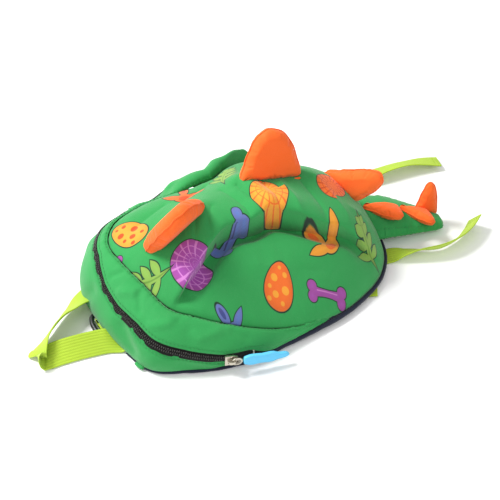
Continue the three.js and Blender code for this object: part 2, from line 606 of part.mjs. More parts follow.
function shoulderPad(side) {
  const spot = (r, edge) => new THREE.Vector2(r.x, side * (r.y + edge * r.half)).multiplyScalar(HALF_LENGTH);
  const top = PAD_LINE.map((r) => spot(r, 1));
  const low = PAD_LINE.map((r) => spot(r, -1)).reverse();
  const outline = new THREE.Shape(new THREE.SplineCurve([...top, ...low, top[0]]).getPoints(34));
  const pad = new THREE.ExtrudeGeometry(outline, { depth: PAD_THICK, bevelEnabled: false });
  pad.translate(MIDDLE.x, MIDDLE.y, 0);
  return pad;
}

// Ladder-lock buckle: a frame with a middle bar.
const BUCKLE = { long: 24, wide: 27, thick: 4, rail: 3.4, bar: 3.2 };
const BUCKLE_GAP = 6;
const PAD_END = PAD_LINE[PAD_LINE.length - 1];
function buckle() {
  const [l, w, r] = [BUCKLE.long / 2, BUCKLE.wide / 2, BUCKLE.rail];
  const slot = l - r - BUCKLE.bar / 2;
  const slotGeometry = () => new THREE.BoxGeometry(slot, 2 * (w - r), 3 * BUCKLE.thick);
  let frame = solid(new THREE.BoxGeometry(2 * l, 2 * w, BUCKLE.thick));
  for (const side of [-1, 1]) {
    frame = frame.subtract(solid(slotGeometry().translate(side * (BUCKLE.bar + slot) / 2, 0, 0)));
  }
  return fromSolid(frame).translate(0, 0, BUCKLE.thick / 2);
}

// Leash ring: a D whose flat side is sewn into the rim and whose bow stands out beside it. Reach and
// side: its place from MIDDLE over HALF_LENGTH. The bow's line is in shares of bow and half.
const RING = { reach: 1.0087, side: -0.092, high: 6, bow: 5.8, half: 14, wire: 2.3 };
const RING_LINE = [[1.4, 1], [0.3, 1], [-0.55, 0.84], [-0.93, 0.42], [-1, 0], [-0.93, -0.42], [-0.55, -0.84], [0.3, -1], [1.4, -1]];
const RING_AT = vec(MIDDLE.x - RING.reach * HALF_LENGTH, MIDDLE.y + RING.side * HALF_LENGTH, RING.high);
const TAB_WIDTH = 16;
const TAB_REACH = 0.8;         // tab's fold behind the bow, where the bow bends back
function leashRing() {
  const bow = new THREE.CatmullRomCurve3(RING_LINE.map(([x, y]) => vec(x * RING.bow, y * RING.half, 0).add(RING_AT)), false, 'centripetal');
  return seated(warp(new THREE.CylinderGeometry(1, 1, 1, 12, 30), (x, y, z) => {
    const side = bow.getTangent(y + 0.5).cross(vec(0, 0, 1)).normalize();
    return bow.getPoint(y + 0.5).addScaledVector(side, x * RING.wire).add(vec(0, 0, z * RING.wire));
  }));
}

// Tab of webbing folded over the ring's flat side, seen between the rim and the bow.
function leashTab() {
  const tip = RING_AT.x - TAB_REACH * RING.bow + RING.wire + GAP;
  const row = (x) => ({ at: [x, RING_AT.y, RING_AT.z], across: [0, 1, 0] });
  return seated(ribbon([row(tip + RING.bow), row(tip + RING.bow / 2), row(tip)], TAB_WIDTH, 6, 2 * WEB_THICK));
}

// Zip slider.

const SLIDER = { long: 11, nose: 6.2, tail: 9, thick: 2.2, bridge: 6.4, bridgeHigh: 4.4, bridgeWide: 2.4, eye: 1.65 };
function sliderBody() {
  const l = SLIDER.long / 2;
  const outline = new THREE.Shape([new THREE.Vector2(-l, -SLIDER.tail / 2), new THREE.Vector2(l * 0.2, -SLIDER.tail / 2),
    new THREE.Vector2(l, -SLIDER.nose / 2), new THREE.Vector2(l, SLIDER.nose / 2),
    new THREE.Vector2(l * 0.2, SLIDER.tail / 2), new THREE.Vector2(-l, SLIDER.tail / 2)]);
  const shell = new THREE.ExtrudeGeometry(outline, { depth: SLIDER.thick, bevelEnabled: false });
  const b = SLIDER.bridge / 2;
  const arch = new THREE.Shape();
  arch.moveTo(-b, 0);
  arch.lineTo(b, 0);
  arch.lineTo(b, SLIDER.bridgeHigh * 0.6);
  arch.quadraticCurveTo(b, SLIDER.bridgeHigh, 0, SLIDER.bridgeHigh);
  arch.quadraticCurveTo(-b, SLIDER.bridgeHigh, -b, SLIDER.bridgeHigh * 0.6);
  const eye = new THREE.Path();
  eye.absarc(0, SLIDER.eye + 0.5, SLIDER.eye, 0, 2 * Math.PI, true);
  arch.holes.push(eye);
  const bridge = new THREE.ExtrudeGeometry(arch, { depth: SLIDER.bridgeWide, bevelEnabled: false, curveSegments: 8 });
  bridge.rotateX(Math.PI / 2);
  bridge.translate(0, SLIDER.bridgeWide / 2, SLIDER.thick - 0.05);
  return fromSolid(solid(shell).add(solid(bridge)));
}

// Pull: a wire ring through the bridge, ending in a soft rubber grip. Its hinge is the origin.
const PULL = { wire: 0.75, ringLong: 9, ringWide: 6.4, grip: 40, wide: 10.5, thick: 3.6, tilt: 6 };
function pullRing() {
  const [l, w] = [PULL.ringLong, PULL.ringWide / 2];
  return warp(new THREE.TorusGeometry(1, 0.2, 6, 22), (x, y, z) => {
    const turn = Math.atan2(y, x);
    const off = (Math.hypot(x, y) - 1) / 0.2 * PULL.wire;
    const centre = vec(l / 2 + l / 2 * Math.cos(turn), w * Math.sin(turn), 0);
    const normal = vec(Math.cos(turn) / l * 2, Math.sin(turn) / w, 0).normalize();
    return centre.addScaledVector(normal, off).add(vec(0, 0, z / 0.2 * PULL.wire));
  });
}

function pullGrip() {
  const w = PULL.wide / 2;
  const g = PULL.grip;
  const edge = [[0, -0.62], [0.16, -0.98], [0.38, -0.86], [0.60, -0.94], [0.74, -0.60], [0.90, -0.44], [1, 0.05],
    [0.92, 0.52], [0.76, 0.60], [0.62, 0.98], [0.40, 0.84], [0.16, 0.96], [0, 0.62]];
  const outline = new THREE.Shape(new THREE.SplineCurve(edge.map(([a, b]) => new THREE.Vector2(a * g, b * w))).getPoints(30));
  const grip = new THREE.ExtrudeGeometry(outline, { depth: PULL.thick, bevelEnabled: false });
  grip.translate(PULL.ringLong + PULL.wire + GAP, 0, -PULL.thick / 2);
  return grip;
}

// Assembly.

const bag = new THREE.Group();
const pieces = new THREE.Group();
bag.add(pieces);

pieces.add(mesh('front_panel', frontPanel(), PRINTED));
pieces.add(mesh('gusset_inner', gussetInner(), GREEN));
pieces.add(mesh('gusset_outer', gussetOuter(), GREEN));
pieces.add(mesh('back_panel', backPanel(), NAVY));
pieces.add(mesh('zip_tape', zipTape(), BLACK_TAPE));
pieces.add(mesh('zip_coil', zipCoil(), BLACK_TAPE));
for (const row of PLATES) pieces.add(mesh(row.name, seated(plate(row)), ORANGE));
const TAIL_SOLID = solid(tail(GAP));
pieces.add(mesh('tail', seated(tail()), GREEN));
for (const row of TAIL_SPIKES) pieces.add(mesh(row.name, seated(tailSpike(row), TAIL_SOLID), ORANGE));
pieces.add(mesh('haul_loop', seated(ribbon(webbingLine(HAUL_LOOP), HAUL_WIDTH, 28)), LIME));
for (const row of WEBBINGS) pieces.add(mesh(row.name, ribbon(webbingLine(row.line), row.width, 16), LIME));
for (const row of PADS) pieces.add(mesh(row.name, shoulderPad(row.side), NAVY));

for (const row of PADS) {
  const frame = mesh(`strap_buckle_${row.name.split('_').pop()}`, buckle(), BLACK_PLASTIC);
  frame.position.set(MIDDLE.x + PAD_END.x * HALF_LENGTH + BUCKLE_GAP + BUCKLE.long / 2,
    MIDDLE.y + row.side * PAD_END.y * HALF_LENGTH, WEB_THICK + 2 * GAP);
  pieces.add(frame);
}

pieces.add(mesh('leash_ring', leashRing(), BLACK_PLASTIC));
pieces.add(mesh('leash_tab', leashTab(), LIME));

// Slider and pull sit on the zip line, their X along it and their Z out of the cloth.
const sliderSeat = new THREE.Group();
const zipPoint = gussetAt(SLIDER_DEG, zipUp(SLIDER_DEG));
const outward = gussetNormal(SLIDER_DEG, zipUp(SLIDER_DEG));
const alongZip = gussetAt(SLIDER_DEG + 3, zipUp(SLIDER_DEG + 3)).sub(gussetAt(SLIDER_DEG - 3, zipUp(SLIDER_DEG - 3)));
alongZip.addScaledVector(outward, -alongZip.dot(outward)).normalize();
const acrossZip = outward.clone().cross(alongZip);
sliderSeat.matrixAutoUpdate = false;
sliderSeat.matrix.makeBasis(alongZip, acrossZip, outward);
sliderSeat.matrix.setPosition(zipPoint.addScaledVector(outward, COIL_THICK + GAP));
sliderSeat.add(mesh('zip_slider', sliderBody(), NICKEL));
const pull = new THREE.Group();
pull.position.set(0, 0, SLIDER.thick - 0.05 + SLIDER.eye + 0.5);
pull.add(mesh('pull_ring', pullRing(), NICKEL));
pull.add(mesh('pull_grip', pullGrip(), RUBBER));
sliderSeat.add(pull);
pieces.add(sliderSeat);

// Stand the whole bag over its origin.
bag.updateMatrixWorld(true);
const box = new THREE.Box3().setFromObject(bag, true);
const centre = box.getCenter(new THREE.Vector3());
pieces.position.set(-centre.x, -centre.y, -box.min.z);
bag.updateMatrixWorld(true);

export default bag;
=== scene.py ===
"""Looks of the toddler animal backpack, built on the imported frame.

The bag lies empty on its back. Shapes are worked out in millimetres in the bag's own axes and placed
in the row frame in metres.
"""

from __future__ import annotations

import logging
import math
from dataclasses import dataclass, field
from enum import Enum
from typing import Callable, NamedTuple, Sequence

import bmesh
import bpy
import numpy as np
from mathutils import Matrix, Vector


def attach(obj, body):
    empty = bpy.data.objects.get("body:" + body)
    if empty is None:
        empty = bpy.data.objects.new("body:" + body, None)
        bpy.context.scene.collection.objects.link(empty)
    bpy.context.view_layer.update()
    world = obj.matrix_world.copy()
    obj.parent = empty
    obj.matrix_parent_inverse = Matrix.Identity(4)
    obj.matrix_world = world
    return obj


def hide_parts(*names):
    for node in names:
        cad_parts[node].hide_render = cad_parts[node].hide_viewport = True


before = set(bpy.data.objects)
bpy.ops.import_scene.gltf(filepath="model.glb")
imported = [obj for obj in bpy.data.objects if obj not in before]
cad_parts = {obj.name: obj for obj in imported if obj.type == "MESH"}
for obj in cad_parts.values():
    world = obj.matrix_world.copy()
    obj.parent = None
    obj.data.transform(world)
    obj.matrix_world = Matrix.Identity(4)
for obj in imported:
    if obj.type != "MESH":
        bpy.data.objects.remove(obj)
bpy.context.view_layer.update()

LOG = logging.getLogger("backpack")
MM = 0.001
BAG = "bag"
PULL = "pull"
UV_SPAN = 400.0  # millimetres of cloth across the whole UV square

Array = Points = np.ndarray
Piece, Mesh = bpy.types.Object, bpy.types.Mesh
Node, Socket, Tree = bpy.types.Node, bpy.types.NodeSocket, bpy.types.NodeTree
Place = Callable[[Array, Array], Points]


# Tables. Lengths are shares of the body's half length, heights shares of its crown.


class Station(NamedTuple):
    """One direction from the middle of the body."""

    deg: float
    rim: float
    seam: float
    height: float
    belly: float
    lift: float
    round: float


STATIONS: list[Station] = [Station(*row) for row in (
    (0, 0.978, 0.974, 0.100, 0.00, 0.00, 4.6),
    (12, 0.964, 0.960, 0.100, 0.00, 0.00, 4.4),
    (24, 0.928, 0.920, 0.100, 0.00, 0.00, 4.0),
    (36, 0.877, 0.862, 0.145, 0.00, 0.01, 3.6),
    (48, 0.812, 0.776, 0.220, 0.01, 0.04, 3.6),
    (60, 0.761, 0.655, 0.520, 0.03, 0.66, 3.8),
    (72, 0.717, 0.515, 0.730, 0.04, 0.44, 3.4),
    (90, 0.703, 0.420, 0.770, 0.06, 0.36, 2.4),
    (108, 0.725, 0.428, 0.780, 0.06, 0.28, 2.2),
    (126, 0.797, 0.507, 0.770, 0.06, 0.05, 2.4),
    (144, 0.913, 0.674, 0.770, 0.06, 0.05, 2.6),
    (156, 1.000, 0.783, 0.780, 0.09, 0.08, 2.8),
    (168, 1.026, 0.826, 0.780, 0.13, 0.07, 2.8),
    (182, 1.000, 0.790, 0.770, 0.15, 0.07, 2.6),
    (197, 0.995, 0.768, 0.720, 0.16, 0.07, 2.4),
    (211, 1.020, 0.783, 0.630, 0.14, 0.09, 2.2),
    (225, 0.925, 0.739, 0.540, 0.12, 0.11, 2.0),
    (240, 0.841, 0.710, 0.440, 0.11, 0.10, 1.8),
    (255, 0.775, 0.700, 0.330, 0.08, 0.08, 1.7),
    (270, 0.739, 0.704, 0.225, 0.04, 0.05, 1.6),
    (285, 0.754, 0.738, 0.165, 0.01, 0.01, 1.6),
    (296, 0.790, 0.780, 0.115, 0.00, 0.00, 1.8),
    (312, 0.862, 0.858, 0.100, 0.00, 0.00, 2.2),
    (327, 0.949, 0.945, 0.100, 0.00, 0.00, 2.8),
    (342, 0.986, 0.982, 0.100, 0.00, 0.00, 3.8),
)]

# Zip line: angle, and distance up the gusset over the crown.
ZIP_LINE: list[tuple[float, float]] = [
    (84, 0.19), (96, 0.42), (112, 0.56), (130, 0.66), (150, 0.74), (171, 0.75), (182, 0.60),
    (193, 0.52), (204, 0.48), (214, 0.39), (225, 0.275), (238, 0.18), (250, 0.155), (264, 0.150),
]


class CreasePoint(NamedTuple):
    """One point of the main crease: step is the ledge's height, soft its width."""

    x: float
    y: float
    step: float
    soft: float


CREASE: list[CreasePoint] = [CreasePoint(*row) for row in (
    (-0.686, -0.496, 0.00, 0.13), (-0.514, -0.422, 0.08, 0.12),
    (-0.407, -0.368, 0.12, 0.11), (-0.270, -0.282, 0.14, 0.10),
    (-0.151, -0.235, 0.16, 0.09), (0.004, -0.242, 0.18, 0.08),
    (0.133, -0.237, 0.22, 0.07), (0.199, -0.259, 0.22, 0.07),
    (0.328, -0.325, 0.17, 0.08), (0.465, -0.381, 0.13, 0.09),
    (0.575, -0.413, 0.11, 0.09), (0.672, -0.479, 0.07, 0.10),
    (0.866, -0.534, 0.00, 0.11),
)]


class Fold(NamedTuple):
    """A soft ridge (or a dent, where its height is negative) between two points."""

    x0: float
    y0: float
    x1: float
    y1: float
    height: float
    width: float


RIDGES: list[Fold] = [Fold(*row) for row in (
    (-0.717, -0.101, -0.283, -0.014, 0.065, 0.28),
    (-0.283, -0.014, 0.094, 0.100, 0.060, 0.31),
    (0.094, 0.100, 0.500, 0.055, 0.050, 0.31),
    (0.500, 0.072, 0.688, 0.029, 0.050, 0.23),
    (0.080, 0.101, 0.138, -0.145, 0.065, 0.15),
    (-0.283, -0.043, -0.464, -0.333, 0.040, 0.20),
)]

# Small folds and dents of the front that only the looks have.
SMALL_FOLDS: list[Fold] = [Fold(*row) for row in (
    (0.030, 0.060, 0.080, -0.180, -0.030, 0.055),
    (0.170, 0.050, 0.210, -0.190, -0.022, 0.060),
    (-0.060, 0.090, 0.000, -0.150, -0.020, 0.080),
    (-0.200, -0.050, -0.300, -0.200, -0.018, 0.070),
    (-0.330, -0.100, -0.430, -0.300, -0.016, 0.060),
    (0.440, 0.020, 0.480, -0.300, -0.020, 0.070),
    (0.560, 0.000, 0.640, -0.330, 0.018, 0.080),
    (0.300, -0.020, 0.330, -0.260, 0.020, 0.080),
    (0.200, -0.480, 0.360, -0.520, -0.012, 0.110),
    (-0.050, -0.400, 0.120, -0.470, 0.012, 0.120),
    (-0.560, -0.250, -0.480, -0.420, 0.020, 0.070),
    (-0.650, 0.150, -0.400, 0.230, -0.020, 0.090),
    (-0.300, 0.180, -0.080, 0.300, -0.026, 0.080),
    (0.560, 0.300, 0.700, 0.150, -0.018, 0.080),
    (0.800, 0.080, 0.900, -0.120, -0.020, 0.070),
    (0.700, -0.250, 0.860, -0.300, 0.016, 0.080),
)]


class GussetFold(NamedTuple):
    """A fold of the gusset: angle, share of the way up, run in degrees and share, height and width in mm."""

    deg: float
    up: float
    run_deg: float
    run_up: float
    height: float
    width: float


GUSSET_FOLDS: list[GussetFold] = [GussetFold(*row) for row in (
    (193, 0.78, 5, 0.10, 1.5, 4.0),
    (200, 0.80, 4, -0.14, -1.2, 3.5),
    (212, 0.72, 6, 0.12, 1.3, 4.0),
    (221, 0.80, 5, -0.10, -1.1, 3.6),
    (232, 0.72, 7, 0.14, 1.2, 4.5),
    (245, 0.75, 6, -0.12, -1.0, 4.0),
    (184, 0.85, 3, 0.14, -1.2, 3.2),
    (176, 0.30, 3, 0.26, -2.0, 7.0),
    (189, 0.24, 5, 0.20, 0.8, 9.0),
    (201, 0.30, 6, -0.16, -2.6, 8.0),
    (213, 0.20, 7, 0.14, 0.7, 8.0),
    (226, 0.16, 6, -0.10, -1.2, 6.0),
    (150, 0.40, 8, 0.22, 2.0, 9.0),
    (128, 0.45, 8, -0.24, -2.2, 9.0),
    (108, 0.55, 6, 0.26, 2.2, 8.0),
    (92, 0.60, 6, -0.26, -2.4, 8.0),
    (76, 0.62, 6, 0.22, 2.2, 8.0),
    (64, 0.60, 5, -0.24, -2.0, 7.0),
    (118, 0.80, 6, 0.12, -1.6, 5.0),
    (140, 0.82, 6, -0.10, 1.4, 5.0),
)]


def smooth(t: Array | float) -> Array:
    """Smooth step from 0 to 1 as t runs from 0 to 1."""
    t = np.clip(t, 0.0, 1.0)
    return t * t * (3.0 - 2.0 * t)


def bell(t: Array) -> Array:
    """Bell curve that is 1 at t 0."""
    return np.exp(-t * t)


def ripple(t: Array, waves: Sequence[tuple[float, float, float]]) -> Array:
    """Uneven waves along a seam.

    Args:
        t: Distance along the seam in millimetres.
        waves: Length, height and phase of each wave.

    Returns:
        The summed height in millimetres.
    """
    return sum(high * np.sin(2 * math.pi * t / long + phase) for long, high, phase in waves)


def unit(v: Points) -> Points:
    """Rows of v at length 1."""
    return v / np.maximum(np.linalg.norm(v, axis=-1, keepdims=True), 1e-9)


def mix(a: Points | float, b: Points | float, t: Points | float) -> Points:
    """Linear blend from a to b."""
    return a + (b - a) * t


@dataclass
class Line3:
    """Centripetal spline through a few points, evaluated by an even share of its points."""

    points: Sequence[Sequence[float]]

    def at(self, share: Array) -> Points:
        """Points of the line.

        Args:
            share: Values from 0 to 1.

        Returns:
            One row of three numbers per value.
        """
        known = np.asarray(self.points, float)
        count = len(known)
        padded = np.vstack([2 * known[0] - known[1], known, 2 * known[-1] - known[-2]])
        place = np.clip(np.asarray(share, float), 0, 1) * (count - 1)
        index = np.minimum(place.astype(int), count - 2)
        t = (place - index)[:, None]
        p0, p1, p2, p3 = (padded[index + k] for k in range(4))
        d0, d1, d2 = (np.maximum(np.linalg.norm(b - a, axis=1, keepdims=True), 1e-6) ** 0.5
                      for a, b in ((p0, p1), (p1, p2), (p2, p3)))
        m1 = ((p1 - p0) / d0 - (p2 - p0) / (d0 + d1) + (p2 - p1) / d1) * d1
        m2 = ((p2 - p1) / d1 - (p3 - p1) / (d1 + d2) + (p3 - p2) / d2) * d1
        return (p1 + m1 * t + (-3 * p1 + 3 * p2 - 2 * m1 - m2) * t**2
                + (2 * p1 - 2 * p2 + m1 + m2) * t**3)

    def tangent(self, share: Array) -> Points:
        """Unit directions along the line."""
        share = np.asarray(share, float)
        return unit(self.at(np.minimum(share + 1e-3, 1)) - self.at(np.maximum(share - 1e-3, 0)))


class CreaseCut(NamedTuple):
    """How the main crease is cut: width of its step, height of its ledge, depth and width of its trough."""

    sharp: float
    ledge: float
    trough: float
    wide: float


PLAIN_CREASE = CreaseCut(1.2, 1.0, 0.45, 1.2)
FINE_CREASE = CreaseCut(0.34, 1.12, 0.80, 0.95)


@dataclass
class BodyShape:
    """The bag's main surfaces, the same as the solids', with finer folds."""

    half_length: float = 138.0
    crown: float = 78.0
    middle: tuple[float, float] = (-21.0, -16.0)
    back_thick: float = 4.2
    strap_room: float = 8.6
    rim_lift: float = 2.3
    step_deg: float = 5.625
    lip: float = 6.0
    crease_up: float = 7.0
    columns: dict[str, Array] = field(default_factory=dict)

    def __post_init__(self) -> None:
        """Samples each station column over the full turn."""
        samples = np.arange(0, 360, 0.25)
        for key in ("rim", "seam", "height", "belly", "lift", "round"):
            self.columns[key] = np.array([self._periodic(key, float(deg)) for deg in samples])
        self.samples = samples
        crease = Line3([(row.x, row.y, row.step) for row in CREASE])
        soft = Line3([(row.soft, 0, 0) for row in CREASE])
        shares = np.linspace(0, 1, 61)
        self.crease_points = crease.at(shares)
        self.crease_soft = soft.at(shares)[:, 0]

    @staticmethod
    def _periodic(key: str, deg: float) -> float:
        """Cubic value of a station column that never overshoots its rows.

        Args:
            key: Column name.
            deg: Angle in degrees.

        Returns:
            The column's value there.
        """
        count = len(STATIONS)
        place = deg % 360
        k = max(i for i in range(count) if STATIONS[i].deg <= place)

        def at(i: int) -> float:
            """Angle of row i, counted on past a full turn."""
            return STATIONS[i % count].deg + 360 * (i // count)

        def val(i: int) -> float:
            """Value of row i."""
            return getattr(STATIONS[i % count], key)

        def tangent(i: int) -> float:
            """Slope at row i, limited so that the curve doesn't overshoot."""
            a = (val(i) - val(i - 1)) / (at(i) - at(i - 1))
            b = (val(i + 1) - val(i)) / (at(i + 1) - at(i))
            if a * b <= 0:
                return 0.0
            mean = (val(i + 1) - val(i - 1)) / (at(i + 1) - at(i - 1))
            return math.copysign(min(abs(mean), 3 * abs(a), 3 * abs(b)), mean)

        run = at(k + 1) - at(k)
        t = (place - at(k)) / run
        return ((2 * t**3 - 3 * t**2 + 1) * val(k) + (t**3 - 2 * t**2 + t) * run * tangent(k)
                + (3 * t**2 - 2 * t**3) * val(k + 1) + (t**3 - t**2) * run * tangent(k + 1))

    def column(self, key: str, deg: Array) -> Array:
        """Values of a station column at some angles."""
        return np.interp(deg, self.samples, self.columns[key], period=360)

    def polar(self, deg: Array, reach: Array, z: Array) -> Points:
        """Points at an angle and reach from the middle."""
        a = np.radians(deg)
        return np.stack(np.broadcast_arrays(self.middle[0] + reach * np.cos(a),
                                            self.middle[1] + reach * np.sin(a), z), axis=-1)

    def rim(self, deg: Array) -> Array:
        """Reach of the rim on the ground."""
        return self.column("rim", deg) * self.half_length

    def seam(self, deg: Array) -> Array:
        """Reach of the front panel's seam."""
        return self.column("seam", deg) * self.half_length

    def gusset_curve(self, deg: Array, w: Array) -> Points:
        """Gusset section from the rim on the ground (w 0) up over its shoulder to the seam (w 1)."""
        rim, seam = self.rim(deg), self.seam(deg)
        high = self.column("height", deg) * self.crown
        belly = self.column("belly", deg) * self.crown
        lift = self.column("lift", deg) * self.crown
        b0, b1, b2, b3 = (1 - w) ** 3, 3 * w * (1 - w) ** 2, 3 * w * w * (1 - w), w**3
        reach = b0 * rim + b1 * (rim + belly) + b2 * (seam + 0.35 * lift + 0.3 * belly) + b3 * seam
        return self.polar(deg, reach, b1 * high * 0.5 + b2 * (high + lift) + b3 * high)

    def _gusset_run(self, deg: Array) -> tuple[Points, Array]:
        """Sampled sections and their lengths from the rim."""
        points = self.gusset_curve(deg[:, None], np.linspace(0, 1, 57)[None, :])
        legs = np.linalg.norm(np.diff(points, axis=1), axis=2)
        return points, np.concatenate([np.zeros((len(deg), 1)), np.cumsum(legs, axis=1)], axis=1)

    def gusset_length(self, deg: Array) -> Array:
        """Length of cloth from the rim up to the seam."""
        return self._gusset_run(np.atleast_1d(deg))[1][:, -1]

    def gusset_at(self, deg: Array, distance: Array) -> Points:
        """Points at a distance up the cloth from the rim."""
        points, run = self._gusset_run(deg)
        index = np.clip((run <= distance[:, None]).sum(axis=1) - 1, 0, run.shape[1] - 2)
        rows = np.arange(len(deg))
        t = (distance - run[rows, index]) / np.maximum(run[rows, index + 1] - run[rows, index], 1e-6)
        return mix(points[rows, index], points[rows, index + 1], t[:, None])

    def gusset_normal(self, deg: Array, distance: Array) -> Points:
        """Outward directions of the gusset."""
        low = np.maximum(0, distance - 1)
        along = self.gusset_at(deg + 1.5, distance) - self.gusset_at(deg - 1.5, distance)
        return unit(np.cross(along, self.gusset_at(deg, low + 2) - self.gusset_at(deg, low)))

    def zip_up(self, deg: Array) -> Array:
        """Distance of the zip line up the gusset."""
        return np.interp(deg, *np.array(ZIP_LINE, float).T) * self.crown

    def crease(self, u: Array, v: Array) -> tuple[Array, ...]:
        """Distance to the main crease, its step, its softness and the direction to its upper side."""
        best = np.full(u.shape, np.inf)
        step, soft = np.zeros(u.shape), np.ones(u.shape)
        toward = np.zeros((*u.shape, 2))
        for a, b, sa, sb in zip(self.crease_points, self.crease_points[1:], self.crease_soft,
                                self.crease_soft[1:]):
            dx, dy = b[0] - a[0], b[1] - a[1]
            length = math.hypot(dx, dy)
            t = np.clip(((u - a[0]) * dx + (v - a[1]) * dy) / length**2, 0, 1)
            away = np.hypot(u - a[0] - dx * t, v - a[1] - dy * t)
            side = np.where(dx * (v - a[1]) - dy * (u - a[0]) >= 0, 1.0, -1.0)
            near = away < np.abs(best) - 1e-9
            best = np.where(near, side * away, best)
            step = np.where(near, mix(a[2], b[2], t), step)
            soft = np.where(near, mix(sa, sb, t), soft)
            toward[near] = (-dy / length, dx / length)
        return best * self.half_length, step * self.crown, soft * self.crown, toward

    def front(self, deg: Array, s: Array, fine: bool = True) -> Points:
        """The front panel from its middle (s 0) to its seam (s 1), with its folds."""
        p = self.polar(deg, self.seam(deg) * s, np.zeros_like(s))
        high = self.column("height", deg) * self.crown
        bend = mix(self.column("round", deg), 2.4, (1 - s) ** 2)
        dome = high + (self.crown - high) * (1 - s**bend) ** 0.85
        u = (p[:, 0] - self.middle[0]) / self.half_length
        v = (p[:, 1] - self.middle[1]) / self.half_length
        edge = smooth((1 - s) * 6)
        away, step, soft, toward = self.crease(u, v)
        if fine:
            away = away - self.crease_up
            step = step + 0.035 * self.crown * smooth(step / (0.03 * self.crown))
        cut = FINE_CREASE if fine else PLAIN_CREASE
        ledge = smooth(away / (soft * cut.sharp) + 0.5) * np.exp(-np.maximum(0, away) / (0.45 * self.crown))
        z = step * (ledge * cut.ledge - cut.trough * bell((away / soft + 0.5) / cut.wide))
        for row in RIDGES + (SMALL_FOLDS if fine else []):
            dx, dy = row.x1 - row.x0, row.y1 - row.y0
            t = np.clip(((u - row.x0) * dx + (v - row.y0) * dy) / (dx * dx + dy * dy), 0, 1)
            off = np.hypot(u - row.x0 - dx * t, v - row.y0 - dy * t) * self.half_length
            near = off / (row.width * self.crown)
            form = 1.5 * np.exp(-1.3 * near) if row in SMALL_FOLDS else bell(near)
            z = z + row.height * self.crown * form
        p[:, 2] = dome + z * edge
        if fine:
            share = np.clip(step / (0.09 * self.crown), 0, 1.1) * edge
            shift = share * (self.lip * bell((away + 2.4) / 3.0) - 0.75 * self.lip * bell((away - 2.6) / 4.4))
            p[:, :2] += toward * shift[:, None]
            reach = self.seam(deg) * (1 - s)
            arc = np.radians(deg) * self.seam(deg)
            p[:, 2] += ripple(arc, ((17, 0.28, 0.4), (9.3, 0.22, 2.0), (6.1, 0.12, 4.1))) * np.exp(-reach / 7)
            p[:, 2] -= 0.9 * np.exp(-(reach / 3.2) ** 2)
        return p

    def front_normal(self, deg: Array, s: Array, fine: bool = False) -> Points:
        """Outward directions of the front panel."""
        q = np.maximum(0.03, s)
        a, b = np.maximum(0.02, q - 0.02), np.minimum(0.999, q + 0.02)
        outward = self.front(deg, b, fine) - self.front(deg, a, fine)
        along = self.front(deg + 2, q, fine) - self.front(deg - 2, q, fine)
        return unit(np.cross(outward, along))

    def front_over(self, x: Array, y: Array) -> tuple[Points, Points]:
        """Front panel points and normals over places in plan."""
        deg = np.degrees(np.arctan2(y - self.middle[1], x - self.middle[0]))
        s = np.hypot(x - self.middle[0], y - self.middle[1]) / self.seam(deg)
        return self.front(deg, np.minimum(0.995, s), False), self.front_normal(deg, np.minimum(0.97, s))

    def gusset_folds(self, deg: Array, distance: Array) -> Array:
        """Height in millimetres that the gusset's folds stand out."""
        length = self.gusset_length(deg)
        share = distance / length
        reach = np.radians(1.0) * self.rim(deg)
        out = np.zeros_like(deg)
        for row in GUSSET_FOLDS:
            a = np.stack([(deg - row.deg + row.run_deg / 2) * reach,
                          (share - row.up + row.run_up / 2) * length], 1)
            run = np.stack([row.run_deg * reach, row.run_up * length], 1)
            t = np.clip((a * run).sum(1) / (run * run).sum(1), 0, 1)
            off = np.linalg.norm(a - run * t[:, None], axis=1)
            out += row.height * bell(off / row.width)
        return out


BODY = BodyShape()


# Where the bag's own zero stands in the row frame, in metres.
ORIGIN = Vector((0.941 * MM, 27.147 * MM, 0.0))


def to_row(p: Sequence[float]) -> Vector:
    """A point in the bag's own millimetres as a point of the row frame."""
    return Vector((p[0] * MM, p[1] * MM, p[2] * MM)) + ORIGIN


# Making meshes.


def new_piece(name: str, mesh: Mesh, body: str = BAG) -> Piece:
    """Puts a mesh into the scene as a smooth shaded piece that rides on a body.

    Args:
        name: Piece name.
        mesh: Its mesh, already in place in the row frame.
        body: CAD body that it moves with.

    Returns:
        The new object.
    """
    mesh.name = name
    mesh.polygons.foreach_set("use_smooth", [True] * len(mesh.polygons))
    piece = bpy.data.objects.new(name, mesh)
    bpy.context.scene.collection.objects.link(piece)
    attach(piece, body)
    return piece


def to_mesh(bm: bmesh.types.BMesh, name: str) -> Mesh:
    """Makes a mesh from a bmesh and frees the bmesh.

    Args:
        bm: The bmesh.
        name: Mesh name.

    Returns:
        The new mesh.
    """
    mesh = bpy.data.meshes.new(name)
    bm.to_mesh(mesh)
    bm.free()
    return mesh


def outward(mesh: Mesh, fill: bool = False) -> Mesh:
    """Turns a mesh's faces outwards.

    Args:
        mesh: The mesh.
        fill: Closes its open ends first.

    Returns:
        The same mesh.
    """
    bm = bmesh.new()
    bm.from_mesh(mesh)
    if fill:
        bmesh.ops.holes_fill(bm, edges=[e for e in bm.edges if e.is_boundary])
    bmesh.ops.recalc_face_normals(bm, faces=bm.faces)
    bm.to_mesh(mesh)
    bm.free()
    return mesh


